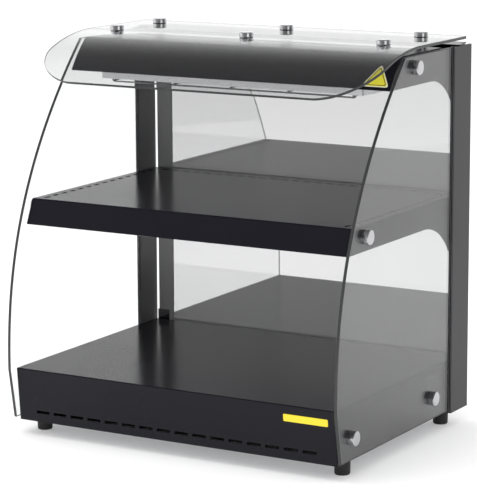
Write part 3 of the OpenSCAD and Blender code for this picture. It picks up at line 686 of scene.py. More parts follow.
# How far the foot of the base's front stands back from its top, in millimetres
BASE_LEAN = 7.0


def slot_row(count, pitch, middle, width, across, height):
    """Holes in a row along the first axis."""
    at = middle + (np.arange(count) - (count - 1) / 2) * pitch
    one = np.ones(count)
    near, far = (across - height / 2) * one, (across + height / 2) * one
    return np.stack([at - width / 2, near, at + width / 2, far], -1)


class FOODDISPLAY_OT_base(bpy.types.Operator):
    """Folds the base cover, with the row of cooling slots low on its leaning front"""

    bl_idname = "food_display.base"
    bl_label = "Base cover"

    def execute(self, context):
        sizes = context.scene.display_sizes
        low, high = drawn("base_cover")
        vents, pitch, vent_width, vent_height, above_foot = 16, 28, 21, 4.5, 14
        slots = slot_row(vents, pitch, 0, vent_width, low[2] + above_foot, vent_height)

        def lean(p):
            p = p.copy()
            share = (high[2] - p[..., 2]) / (high[2] - low[2])
            p[..., 1] += BASE_LEAN * share * (1 - (p[..., 1] - low[1]) / (high[1] - low[1]))
            return p

        def keep(name, centres):
            if name != "-y":
                return np.ones(len(centres), bool)
            return ~inside_any(centres[:, [0, 2]], slots)

        shape = Shape()
        cuts = {"-y": (slots[:, [0, 2]], slots[:1, [1, 3]])}
        folded(shape, low, high, sizes.bend / MM, ("+z", "-y", "-x", "+x"), ("+y", "-z"), cuts, keep, lean)
        wall = sizes.sheet
        make_piece("base_shell", shape, ROOT, "black_coat", ("base_cover",), wall=wall, bevel=0.00015)
        return {"FINISHED"}


def arch_under(y, straight, arch):
    """Underside of a bracket: straight, a quarter circle that drops away, then level at the leg."""
    start, radius = arch
    run = np.clip(y, start, LEG_Y) - start
    return straight - (radius - np.sqrt(radius**2 - run**2))


def standing(side):
    """Places a point on an upright plate: height runs out along X, along runs back, across runs up."""
    return lambda across, along, height: np.stack([side * height, along, across], -1)


def brackets(prefix, y, straight, arch, top, outer_x, thick):
    """A pair of upright plates between the arched underside and the top line, one on each side."""

    def under(a):
        return arch_under(a, straight, arch)

    for side, word in SIDE_NAMES:
        shape = Shape()
        leaf(shape, y, under, top, standing(side), outer_x - thick, outer_x, chamfer=0.3)
        name = prefix + word
        make_piece(name + "_plate", shape, ROOT, "black_coat", (name,))


class FOODDISPLAY_OT_shelf(bpy.types.Operator):
    """Folds the warm shelf with its perforated edges, and cuts its two side brackets"""

    bl_idname = "food_display.shelf"
    bl_label = "Heated shelf"

    def execute(self, context):
        sizes = context.scene.display_sizes
        low, high = drawn("shelf_top")
        lean_out = 15.0
        top_front = low[1] + lean_out
        bend = sizes.bend / MM
        strip = bend + 0.6
        slot_width, side_pitch, side_inset = 5, 20.7, 15
        middle = 62 + 6.5 * side_pitch
        sides = np.vstack(
            [slot_row(14, side_pitch, middle, 13, s * (high[0] - side_inset), slot_width) for s in SIDES]
        )
        rear = slot_row(25, 18.5, 0, 12, 350, slot_width)
        holes = np.vstack([sides[:, [1, 0, 3, 2]], rear])

        def lean(p):
            p = p.copy()
            share = (high[2] - p[..., 2]) / (high[2] - low[2])
            p[..., 1] -= lean_out * share * (1 - (p[..., 1] - top_front) / (high[1] - top_front))
            return p

        def keep(name, centres):
            if name == "+z":
                return ~inside_any(centres[:, [0, 1]], holes)
            if name == "-y":
                return np.ones(len(centres), bool)
            return (centres[:, 2] > high[2] - strip) | (centres[:, 1] < top_front + strip)

        shape = Shape()
        edges = {
            "+z": (holes[:, [0, 2]], holes[:, [1, 3]]),
            "-x": ([top_front + strip], [high[2] - strip]),
            "+x": ([top_front + strip], [high[2] - strip]),
        }
        start = (low[0], top_front, low[2])
        folded(shape, start, high, bend, ("+z", "-y", "-x", "+x"), ("+y", "-z"), edges, keep, lean)
        make_piece("shelf_shell", shape, ROOT, "black_coat", ("shelf_top",), wall=sizes.sheet, bevel=0.0001)

        bracket_high = drawn("shelf_bracket_right")[1]
        seam = strip + 0.06
        slope = (high[2] - low[2]) / lean_out

        def top(y):
            return np.minimum(high[2] - seam, high[2] - (top_front + seam - y) * slope)

        y = np.linspace(low[1] + seam + 1.5, bracket_high[1], 112)
        brackets("shelf_bracket_", y, low[2], SHELF_ARCH, top, high[0], sizes.sheet / MM)
        return {"FINISHED"}


def hood_profile(low, high):
    """The hood's face and top as (y, z): an arc up from the underside, a rolled corner, the flat top."""
    run, rise, radius = 37.0, high[2] - low[2], 200.0
    slope = math.atan2(rise, run)
    half = math.asin(math.hypot(run, rise) / 2 / radius)
    a = np.pi / 2 + slope + half - 2 * half * np.linspace(0, 1, 13)
    middle = np.array([low[1] + run / 2, (low[2] + high[2]) / 2])
    centre = middle + math.cos(half) * radius * np.array([math.sin(slope), -math.cos(slope)])
    face = centre + radius * np.stack([np.cos(a), np.sin(a)], -1)
    corners = np.vstack([face, [[high[1], high[2]]]])
    radii = np.zeros(len(corners))
    radii[len(face) - 1] = 6.0
    return rounded(corners, radii, 8)


class FOODDISPLAY_OT_hood(bpy.types.Operator):
    """Rolls the hood's curved face and top, and cuts its two side brackets and the bar across the top"""

    bl_idname = "food_display.hood"
    bl_label = "Lamp hood"

    def execute(self, context):
        sizes = context.scene.display_sizes
        low, high = drawn("hood_shell")
        profile = hood_profile(low, high)
        x = np.linspace(low[0], high[0], 9)
        points = np.stack(
            [
                np.repeat(x[None], len(profile), 0),
                np.repeat(profile[:, :1], len(x), 1),
                np.repeat(profile[:, 1:], len(x), 1),
            ],
            -1,
        )
        shape = Shape()
        shape.add(points, quads(len(profile), len(x))[:, ::-1])
        make_piece("hood_sheet", shape, ROOT, "black_coat", ("hood_shell",), wall=sizes.sheet, bevel=0.0003)

        bracket_high = drawn("hood_bracket_right")[1]
        clear = sizes.sheet / MM + 0.35

        def top(y):
            return np.interp(y, profile[:, 0], profile[:, 1]) - clear

        y = np.linspace(low[1] + 4.2, bracket_high[1], 90)
        brackets("hood_bracket_", y, low[2], HOOD_ARCH, top, high[0], sizes.sheet / MM)

        bar_low, bar_high = drawn("top_crossbar")
        end, front_notch, rear_notch = bar_high[0], bar_low[1] + 36.3, bar_high[1] - 21.5
        corners = [(0, bar_low[1]), (end - 36, bar_low[1]), (end - 36, front_notch), (end, front_notch)]
        corners += [(end, rear_notch), (end - 8, rear_notch), (end - 8, bar_high[1]), (0, bar_high[1])]
        corners = np.vstack([corners[1:-1], np.array(corners[-2:0:-1]) * (-1, 1)])
        shape = Shape()
        outline = evenly(rounded(corners, 1.5, 4, closed=True), 60)
        slab(shape, outline, lambda a, b, h: np.stack([a, b, h], -1), bar_low[2], bar_high[2], 0.5)
        make_piece("top_bar", shape, ROOT, "black_coat", ("top_crossbar",))
        return {"FINISHED"}


# ---- Lamp ----


class FOODDISPLAY_OT_lamp(bpy.types.Operator):
    """Makes the lamp's folded reflector, its quartz tube with the coil inside, and the wire guard"""

    bl_idname = "food_display.lamp"
    bl_label = "Lamp"

    def execute(self, context):
        low, high = drawn("lamp_reflector")
        shape = Shape()
        folded(shape, low, high, 2.5, ("+z", "-y", "+y", "-x", "+x"), ("-z",))
        make_piece(
            "lamp_reflector_tray", shape, ROOT, "reflector_aluminium", ("lamp_reflector",),
            wall=0.0009, bevel=0.0002,
        )

        low, high = drawn("lamp_tube")
        middle = (low + high) / 2
        radius, half = (high[2] - low[2]) / 2, (high[0] - low[0]) / 2
        shape = Shape()
        end = [(0, 0), (2.2, 0), (2.6, 1), (2.6, 8), (radius, 14)]
        profile = end + [(r, 2 * half - d) for r, d in end[::-1]]
        start = [-half, middle[1], middle[2]]
        turned(shape, rounded(profile, 1.2, 4), start, (1, 0, 0), 24)
        coil_start, coil_r, turn_rate = 22, 1.1, 2.2
        coil = np.linspace(-half + coil_start, half - coil_start, 900)
        wind_y, wind_z = coil_r * np.cos(coil * turn_rate), coil_r * np.sin(coil * turn_rate)
        path = np.stack([coil, middle[1] + wind_y, middle[2] + wind_z], -1)
        carried(shape, circle(0.3, 5), path, (0, 0.3, 1), 1)
        finishes = ["quartz_tube", "filament"]
        make_piece("lamp_quartz", shape, ROOT, "quartz_tube", ("lamp_tube",), finishes, even=False)

        tray_low, tray_high = drawn("lamp_reflector")
        guard_low, guard_high = drawn("lamp_guard")
        radius = context.scene.display_sizes.wire / MM / 2
        level, up = guard_low[2] + radius, tray_high[2] - 1.2
        end_x = guard_high[0] - radius
        shape = Shape()
        for y in (tray_low[1] + 7, tray_high[1] - 4):
            corners = [(-end_x, y, up), (-end_x, y, level), (end_x, y, level), (end_x, y, up)]
            carried(shape, circle(radius, 10), evenly(rounded(corners, 4, 6), 40, closed=False), (0, 1, 0))
        for x in (-end_x + 4, -90, 0, 90, end_x - 4):
            ends = [(x, tray_low[1] + 5, level + 1.8 * radius), (x, tray_high[1] - 2, level + 1.8 * radius)]
            carried(shape, circle(radius, 10), evenly(np.array(ends), 20, closed=False), (0, 0, 1))
        make_piece("lamp_guard_wires", shape, ROOT, "guard_wire", ("lamp_guard",), even=False)
        return {"FINISHED"}


# ---- Posts ----


class FOODDISPLAY_OT_posts(bpy.types.Operator):
    """Draws the two rear posts: a grooved front, softened corners and a rebate for the door"""

    bl_idname = "food_display.posts"
    bl_label = "Rear posts"

    def execute(self, context):
        low, high = drawn("post_right")
        rebate_y, rebate_t, groove, deep = 370.0, 4.2, 1.1, 1.6
        corners = [(low[0], low[1])]
        for start in (2.2, 5.2):
            x = low[0] + start
            corners += [(x, low[1]), (x, low[1] + deep), (x + groove, low[1] + deep), (x + groove, low[1])]
        corners += [(high[0], low[1]), (high[0], high[1]), (low[0] + rebate_t, high[1])]
        corners += [(low[0] + rebate_t, rebate_y), (low[0], rebate_y)]
        radii = np.array([0.6] + [0.25, 0.2, 0.2, 0.25] * 2 + [0.8, 0.8, 0.5, 0.3, 0.4])
        loop = rounded(corners, radii, 4, closed=True)
        levels = np.linspace(low[2], high[2], 12)
        for side, word in SIDE_NAMES:
            points = np.stack(
                [
                    np.repeat(side * loop[None, :, 0], len(levels), 0),
                    np.repeat(loop[None, :, 1], len(levels), 0),
                    np.repeat(levels[:, None], len(loop), 1),
                ],
                -1,
            )
            shape = Shape()
            following = np.roll(loop, -1, 0)
            # The front and inner faces take the paler coat: painted light standing in for the light that
            # falls on them
            painted_lit_faces = (np.maximum(loop, following) < np.array([low[0], low[1]]) + 0.01).any(1)
            kinds = np.tile(painted_lit_faces, len(levels) - 1)
            shape.add(points, quads(len(levels), len(loop), close_columns=True), kinds)
            for start in (0, (len(levels) - 1) * len(loop)):
                shape.faces.append(list(range(start, start + len(loop))))
                shape.finishes.append(0)
            finishes = ("post_coat", "post_trim")
            make_piece("rear_post_" + word, shape, ROOT, "post_coat", ("post_" + word,), finishes, sharp=40)
        return {"FINISHED"}


# ---- Glass ----

CREASE_Y, CANOPY_R, CORNER_R = 217.0, 276.0, 81.0
KNEE_Z, FOOT_SLOPE, BOW_DEPTH, BOW_POWER = 95.0, 0.177, 190.9, 2.25


class FOODDISPLAY_OT_glass(bpy.types.Operator):
    """Cuts the bowed side panes and bends the canopy, all with ground edges whose dark rim is painted shade
    """

    bl_idname = "food_display.glass"
    bl_label = "Glass"

    def execute(self, context):
        chamfer = context.scene.display_sizes.glass_chamfer / MM
        low, high = drawn("side_pane_right")

        def front(z):
            rise = np.clip(z - KNEE_Z, 0, None) / (high[2] - KNEE_Z)
            return low[1] + BOW_DEPTH * rise**BOW_POWER + FOOT_SLOPE * np.clip(KNEE_Z - z, 0, None)

        z = np.unique(np.append(np.linspace(low[2], high[2], 130), KNEE_Z))
        for side, word in SIDE_NAMES:
            shape = Shape()
            leaf(
                shape, z, front, lambda a: np.full(len(a), high[1]),
                lambda across, along, height, side=side: np.stack([side * height, across, along], -1),
                low[0], high[0], chamfer, columns=12, rim_finish=1,
            )
            # The pane's rim takes the dark edge finish, which is painted shade on the ground edge
            pane, finishes = ("side_pane_" + word,), ("clear_glass", "glass_edge")
            make_piece("glass_side_" + word, shape, ROOT, "clear_glass", pane, finishes, sharp=20)

        low, high = drawn("canopy")
        thick = 4.0
        bent = CANOPY_R * math.asin((CREASE_Y - low[1]) / CANOPY_R)

        def place(across, along, height):
            turn = np.clip(along, 0, None) / CANOPY_R
            radius = CANOPY_R - thick + height
            y = CREASE_Y - np.minimum(along, 0) - radius * np.sin(turn)
            return np.stack([across, y, high[2] - CANOPY_R + radius * np.cos(turn)], -1)

        def half(along):
            into = np.clip(along - (bent - CORNER_R), 0, CORNER_R)
            corner = high[0] - CORNER_R + np.sqrt(CORNER_R**2 - into**2)
            back = np.clip((CREASE_Y - high[1]) + 4 - along, 0, 4)
            return np.minimum(corner, high[0] - 4 + np.sqrt(16 - back**2))

        turn = np.linspace(0, np.pi / 2, 26)
        rows = np.concatenate(
            [
                (CREASE_Y - high[1]) + 4 * (1 - np.cos(turn[::5])),
                np.linspace(CREASE_Y - high[1] + 8, 0, 10),
                np.linspace(0, bent - CORNER_R, 16),
                bent - CORNER_R * (1 - np.sin(turn)),
            ]
        )
        rows = np.unique(np.round(rows, 3))
        rows = rows[np.append(True, np.diff(rows) > 0.05)]
        shape = Shape()
        leaf(shape, rows, lambda a: -half(a), half, place, 0, thick, chamfer, columns=36, rim_finish=1)
        # The canopy's rim takes the dark edge finish, which is painted shade on the ground edge
        finishes = ("canopy_glass", "glass_edge")
        make_piece("glass_canopy", shape, ROOT, "clear_glass", ("canopy",), finishes, sharp=20)
        return {"FINISHED"}


# ---- Studs, caps and spacers ----

SIDE_STUDS = ((32, 55), (269.8, 55), (69.4, 314), (210.3, 519.4))
TOP_STUD_X, TOP_STUD_Y = (-211, 0, 211), (208, 322)
# Radii in millimetres, and how far each stud reaches behind its seat
CAP_R, STUD_R, SPACER_R, SPACER_HOLE_R = 10, 3, 8, 3.3
STUD_DEEP = 8


def cap_profile(radius, height, rounding):
    """Turned cap from the side: a flat seat, an undercut, a wall, a rounded edge and a nearly flat face."""
    corners = [(0, 0), (radius - 0.7, 0), (radius, 0.6), (radius, height - 0.25)]
    corners += [(radius * 0.55, height - 0.01), (0, height)]
    return rounded(corners, [0, 0.3, 0.3, rounding, 3, 0], 6)


def ring_profile(inner, outer, height):
    """A spacer seen from the side: a closed ring with softened corners."""
    loop = rounded(rectangle(inner, 0, outer, height), 0.35, 3, closed=True)
    return np.vstack([loop, loop[:1]])


class FOODDISPLAY_OT_fittings(bpy.types.Operator):
    """Turns the polished caps, their studs and the spacers behind the glass"""

    bl_idname = "food_display.fittings"
    bl_label = "Glass fittings"

    def execute(self, context):
        rounding = context.scene.display_sizes.cap_rounding / MM
        pane_low, pane_high = drawn("side_pane_right")
        cap_height = drawn("side_caps")[1][0] - pane_high[0]
        body_x = drawn("base_cover")[1][0]
        caps, spacers = Shape(), Shape()
        for side in SIDES:
            axis = (side, 0, 0)
            for y, z in SIDE_STUDS:
                cap = cap_profile(CAP_R, cap_height, rounding)
                turned(caps, cap, (side * pane_high[0], y, z), axis, 64)
                stud = rod(STUD_R, pane_high[0] + 0.5 - body_x + STUD_DEEP, 0.3)
                turned(caps, stud, (side * (body_x - STUD_DEEP), y, z), axis, 24)
                spacer = ring_profile(SPACER_HOLE_R, SPACER_R, pane_low[0] - body_x)
                turned(spacers, spacer, (side * body_x, y, z), axis, 40)
        make_piece("side_cap_set", caps, ROOT, "polished_metal", ("side_caps",), ["satin_cap"])
        make_piece("side_spacer_set", spacers, ROOT, "polished_metal", ("side_spacers",))

        glass_top = drawn("canopy")[1][2]
        cap_height = drawn("canopy_caps")[1][2] - glass_top
        seats = (drawn("hood_shell")[1][2], drawn("top_crossbar")[1][2])
        tops = (glass_top - 4.52, glass_top - 4)
        caps, spacers = Shape(), Shape()
        for x in TOP_STUD_X:
            for y, seat, top in zip(TOP_STUD_Y, seats, tops):
                turned(caps, cap_profile(CAP_R, cap_height, rounding), (x, y, glass_top), UP, 64)
                stud = rod(STUD_R, glass_top - seat + 0.5 + STUD_DEEP, 0.3)
                turned(caps, stud, (x, y, seat - STUD_DEEP), UP, 24)
                spacer = ring_profile(SPACER_HOLE_R, SPACER_R, top - seat)
                turned(spacers, spacer, (x, y, seat), UP, 40)
        make_piece("canopy_cap_set", caps, ROOT, "polished_metal", ("canopy_caps",))
        make_piece("canopy_spacer_set", spacers, ROOT, "polished_metal", ("canopy_spacers",))
        return {"FINISHED"}


# ---- Door ----


class FOODDISPLAY_OT_door(bpy.types.Operator):
    """Cuts the mirror of the rear door and turns its handle"""

    bl_idname = "food_display.door"
    bl_label = "Mirror door"

    def execute(self, context):
        low, high = drawn("door_mirror")
        corners = rectangle(low[0], low[2], high[0], high[2])
        outline = evenly(rounded(corners, 2.5, 5, closed=True), 50)
        shape = Shape()
        slab(
            shape, outline, lambda a, b, h: np.stack([a, h, b], -1),
            low[1], high[1], 0.7, rings=3, rim_finish=1,
        )
        finishes = ["mirror_glass", "mirror_edge"]
        make_piece("door_glass", shape, "door", "mirror_glass", ("door_mirror",), finishes)

        low, high = drawn("door_handle")
        glass_y = drawn("door_mirror")[1][1]
        x, bar_r = (low[0] + high[0]) / 2, 5.0
        bar_y = high[1] - bar_r
        shape = Shape()
        length = high[2] - low[2]
        turned(shape, rod(bar_r, length, 1.6, 5), (x, bar_y, low[2]), UP, 40)
        for z in (low[2] + 8, high[2] - 8):
            corners = [(0, 0), (8, 0), (8, 2.4), (4, 3.4), (4, bar_y - glass_y), (0, bar_y - glass_y)]
            foot = rounded(corners, [0, 0.4, 0.8, 1.5, 0, 0], 5)
            turned(shape, foot, (x, glass_y, z), (0, 1, 0), 40)
        make_piece("handle_bar", shape, "door", "polished_metal", ("door_handle",))
        return {"FINISHED"}


# ---- Feet and controls ----


class FOODDISPLAY_OT_feet(bpy.types.Operator):
    """Turns the four rubber feet, each with its screw recess"""

    bl_idname = "food_display.feet"
    bl_label = "Feet"

    def execute(self, context):
        for name in ("foot_front_left", "foot_front_right", "foot_rear_left", "foot_rear_right"):
            low, high = drawn(name)
            middle = (low + high) / 2
            r, tall = (high[0] - low[0]) / 2, high[2]
            corners = [(6, 0), (r - 1.5, 0), (r - 0.5, 1.6), (r - 0.1, tall - 3.2)]
            corners += [(r - 0.9, tall - 2.6), (r - 0.9, tall - 1.8)]
            corners += [(r, tall - 1.2), (r, tall), (2.8, tall), (2.8, 7), (6, 7)]
            loop = rounded(corners, [0.5, 0.8, 0.8, 0.3, 0.3, 0.3, 0.3, 0.3, 0.1, 0.1, 0.3], 4, closed=True)
            shape = Shape()
            turned(shape, np.vstack([loop, loop[:1]]), (middle[0], middle[1], 0), (0, 0, 1), 56)
            make_piece(name + "_pad", shape, ROOT, "foot_rubber", (name,))
        return {"FINISHED"}


def on_rear(x0, z0):
    """Places a point on the rear panel: across runs along X, along runs up, height runs back."""
    return lambda a, b, h: np.stack([x0 + a, h, z0 + b], -1)


class FOODDISPLAY_OT_controls(bpy.types.Operator):
    """Makes the thermostat knob and its plate, the two rockers, the indicator and the cord gland"""

    bl_idname = "food_display.controls"
    bl_label = "Rear controls"

    def execute(self, context):
        low, high = drawn("thermostat_knob")
        middle, start = (low + high) / 2, low[1]
        at = (middle[0], start, middle[2])
        r = (high[0] - low[0]) / 2
        shape = Shape()
        skirt = [(3, 0), (r, 0), (r, 4.2), (r - 3.0, 5.2), (r - 3.0, 5.0)]
        turned(shape, rounded(skirt, [0, 0.4, 0.9, 0.4, 0], 5), at, (0, 1, 0), 144)
        body = rounded([(r - 3.2, 4.8), (r - 3.5, 15), (r - 7, 15.6), (0, 15.8)], [0, 1.6, 2, 0], 6)
        turned(shape, body, at, (0, 1, 0), 144, ripple=0.02, lobes=24)
        turned(shape, [(3, 0), (3, 14), (0, 14)], at, (0, 1, 0), 40)
        grip = evenly(rounded(rectangle(-3, -r + 4, 3, r - 1), 2.2, 6, closed=True), 4)
        slab(shape, grip, on_rear(middle[0], middle[2]), start + 14.5, high[1], 0.9, rings=3, steps=4)
        line = evenly(rounded(rectangle(-0.5, r - 8, 0.5, r - 1.8), 0.3, 3, closed=True), 3)
        slab(shape, line, on_rear(middle[0], middle[2]), high[1] - 0.4, high[1] + 0.05, 0.1, finish=1)
        finishes, knob = ["black_plastic", "mark_white"], ("thermostat_knob",)
        make_piece("thermostat_grip", shape, "thermostat_dial", "black_plastic", knob, finishes)

        low, high = drawn("dial_plate")
        middle = (low + high) / 2
        r = (high[0] - low[0]) / 2
        shape = Shape()
        ring = ring_profile(4.6, r, high[1] - low[1])
        turned(shape, ring, (middle[0], low[1], middle[2]), (0, 1, 0), 96)
        for turn in np.radians(np.arange(-135, 136, 30)):
            c, s = math.cos(turn), math.sin(turn)
            tick = np.array(rectangle(-0.35, r - 5, 0.35, r - 1.6)) @ np.array([[c, -s], [s, c]])
            slab(shape, tick, on_rear(middle[0], middle[2]), high[1] - 0.2, high[1] + 0.06, 0.03, finish=1)
        finishes = ["dial_aluminium", "label_line"]
        make_piece("dial_ring", shape, ROOT, "dial_aluminium", ("dial_plate",), finishes)

        tilt = math.radians(7)
        for name, body, slot in (
            ("power_rocker", "power_switch", "red_plastic"),
            ("lamp_rocker", "lamp_switch", "black_plastic"),
        ):
            low, high = drawn(name)
            x0 = (low[0] + high[0]) / 2
            pivot_y, pivot_z = 363.0, 56.0
            face = np.array([(-3, -4), (4.4, -7.4), (3.2, 0), (4.4, 7.4), (-3, 4)])
            outline = evenly(rounded(face, [0.5, 0.7, 9, 0.7, 0.5], 6, closed=True), 2.5)
            c, s = math.cos(tilt), math.sin(tilt)

            def rock(a, b, h, x0=x0, pivot_y=pivot_y, pivot_z=pivot_z, c=c, s=s):
                return np.stack([x0 + h, pivot_y + a * c - b * s, pivot_z + a * s + b * c], -1)

            shape = Shape()
            slab(shape, outline, rock, -4.6, 4.6, 0.6, rings=3, steps=4)
            turned(shape, rod(1, 12, 0.2, 2), (x0 - 6, pivot_y, pivot_z), (1, 0, 0), 20)
            make_piece(name + "_key", shape, body, slot, (name,))

        low, high = drawn("indicator_lamp")
        middle = (low + high) / 2
        panel = drawn("rear_panel")[1][1]
        shape = Shape()
        bezel = rounded([(3.9, 0), (5.5, 0), (5.5, 1.4), (3.9, 1.6)], [0, 0.2, 0.5, 0], 4)
        turned(shape, np.vstack([bezel, bezel[:1]]), (middle[0], panel, middle[2]), (0, 1, 0), 40, 1)
        dome_height = high[1] - panel
        corners = [(0, -16), (3.9, -16), (3.9, dome_height - 0.8), (0, dome_height)]
        dome = rounded(corners, [0, 0.5, 2.5, 0], 8)
        turned(shape, dome, (middle[0], panel, middle[2]), (0, 1, 0), 40, ripple=0.012, lobes=20)
        finishes = ["amber_lens", "black_plastic"]
        make_piece("indicator_lens", shape, ROOT, "amber_lens", ("indicator_lamp",), finishes)

        low, high = drawn("cord_gland")
        middle = (low + high) / 2
        shape = Shape()
        turns = np.radians(np.arange(0, 360, 60))
        hexagon = np.array([(11.5 * math.cos(a), 11.5 * math.sin(a)) for a in turns])
        out = high[1] - panel
        behind = low[1] - panel
        bore = rounded([(4, out), (4, behind), (7.5, behind), (7.5, 0)], [0, 0.3, 0.4, 0], 4)
        turned(shape, bore, (middle[0], panel, middle[2]), (0, 1, 0), 48)
        corners = [(7.5, 0), (8.6, 5.6), (9.5, 6.2), (9.3, out - 2.4), (6.2, out), (4, out)]
        dome = rounded(corners, [0, 0.3, 0.6, 2.2, 1, 0], 6)
        turned(shape, dome, (middle[0], panel, middle[2]), (0, 1, 0), 96, ripple=0.012, lobes=24)
        outline = evenly(rounded(hexagon, 0.8, 3, closed=True), 4)
        ring = circle(7.6, len(outline))
        ring = ring[np.argsort(np.arctan2(ring[:, 1], ring[:, 0]))]
        outline = outline[np.argsort(np.arctan2(outline[:, 1], outline[:, 0]))]
        step = inward(outline)
        loops = [(ring, 0.05), (outline + 0.5 * step, 0.05), (outline, 0.55), (outline, 5.4)]
        loops += [(outline + 0.6 * step, 6), (ring, 6)]
        place = on_rear(middle[0], middle[2])
        points = np.stack([place(p[:, 0], p[:, 1], np.full(len(p), panel + h)) for p, h in loops])
        shape.add(points, quads(len(loops), len(outline), close_columns=True))
        make_piece("gland_body", shape, ROOT, "black_plastic", ("cord_gland",))
        return {"FINISHED"}


# ---- Badge and label ----


class FOODDISPLAY_OT_marks(bpy.types.Operator):
    """Makes the blank bar on the front and the blank triangle bent to the hood's face"""

    bl_idname = "food_display.marks"
    bl_label = "Blank badge and label"

    def execute(self, context):
        low, high = drawn("front_badge")
        base_low, base_high = drawn("base_cover")
        lean = math.atan2(BASE_LEAN, base_high[2] - base_low[2])
        middle = (low + high) / 2
        face_y = BASE_LEAN * (base_high[2] - middle[2]) / (base_high[2] - base_low[2])

        def on_front(a, b, h):
            y = face_y - h * math.cos(lean) - b * math.sin(lean)
            return np.stack([middle[0] + a, y, middle[2] + b * math.cos(lean) - h * math.sin(lean)], -1)

        half = (high[0] - low[0]) / 2
        outline = evenly(rounded(rectangle(-half, -5, half, 5), 1.6, 5, closed=True), 4)
        shape = Shape()
        slab(shape, outline, on_front, 0.02, 0.8, 0.35, rings=3)
        make_piece("badge_bar", shape, ROOT, "badge_yellow", ("front_badge",))

        low, high = drawn("corner_label")
        hood_low, hood_high = drawn("hood_shell")
        profile = evenly(hood_profile(hood_low, hood_high), 1.0, closed=False)
        at = np.concatenate([[0], np.cumsum(np.linalg.norm(np.diff(profile, axis=0), axis=1))])
        slope = np.gradient(profile, axis=0)
        slope /= np.linalg.norm(slope, axis=1)[:, None]
        side_len = high[0] - low[0]
        centre_x, start = (low[0] + high[0]) / 2, 4.5

        def on_hood(a, b, h):
            y, z = (np.interp(b + start, at, profile[:, k]) for k in (0, 1))
            ty, tz = (np.interp(b + start, at, slope[:, k]) for k in (0, 1))
            return np.stack([centre_x + a, y - h * tz, z + h * ty], -1)

        tall = side_len * math.sqrt(3) / 2
        corners = [(-side_len / 2, 0), (side_len / 2, 0), (0, tall)]
        outline = evenly(rounded(corners, 2.6, 6, closed=True), 2.5)
        middle = outline.mean(0)
        shape = Shape()
        rings = ((1.0, 0.90, "rim"), (0.90, 0.80, "field"), (0.80, 0.72, "line"), (0.72, 0.0, "field"))
        order = {"field": 0, "rim": 1, "line": 2}
        for outer, inner, kind in rings:
            share = np.linspace(outer, inner, 3 if inner else 7)
            loops = middle + share[:, None, None] * (outline - middle)
            points = on_hood(loops[..., 0], loops[..., 1], np.full(loops.shape[:2], 0.3))
            shape.add(points, quads(*loops.shape[:2], close_columns=True), order[kind])
        make_piece(
            "corner_triangle", shape, ROOT, "label_yellow", ("corner_label",),
            ["label_yellow", "label_rim", "label_line"], wall=0.00025, even=False,
        )
        return {"FINISHED"}


# ---- Carried-over CAD nodes ----


class FOODDISPLAY_OT_finishes(bpy.types.Operator):
    """Gives every CAD node that still shows the finish of its material slot"""

    bl_idname = "food_display.finishes"
    bl_label = "Finishes of the CAD pieces"

    def execute(self, context):
        for name, piece in frame["nodes"].items():
            if piece.hide_render:
                continue
            material = finish_of(SLOT_OF[name])
            if not piece.material_slots:
                piece.data.materials.append(material)
            for entry in piece.material_slots:
                entry.material = material
        return {"FINISHED"}


# ---- Stage ----


def smooth_step(web, value, start, end, first, last):
    """first below start, last above end, with an even change between them."""
    inputs = {"Value": value, "From Min": start, "From Max": end, "To Min": first, "To Max": last}
    return web.add("ShaderNodeMapRange", inputs, interpolation_type="SMOOTHSTEP").outputs["Result"]


def facing(web, heading, toward):
    """How squarely a heading points toward a direction: 1 straight at it, 0 across it."""
    return web.vector("DOT_PRODUCT", heading, toward).outputs["Value"]


def in_reflections(web, direct, reflected):
    """One value seen directly, through glass or by soft bounced light, and another in a reflection."""
    path = web.add("ShaderNodeLightPath")
    mirrored = web.math("MINIMUM", path.outputs["Glossy Depth"], 1.0)
    soft = web.math("MINIMUM", path.outputs["Diffuse Depth"], 1.0)
    share = web.math("MULTIPLY", mirrored, web.math("SUBTRACT", 1.0, soft))
    return web.add("ShaderNodeMix", {0: share, 2: direct, 3: reflected}).outputs[0]


# The floor reaches far to the left and back, and ends before the dim front right of the room, in metres
FLOOR_RADIUS, FLOOR_CENTRE = 4.6, (-2.6, 0.4, 0.0)


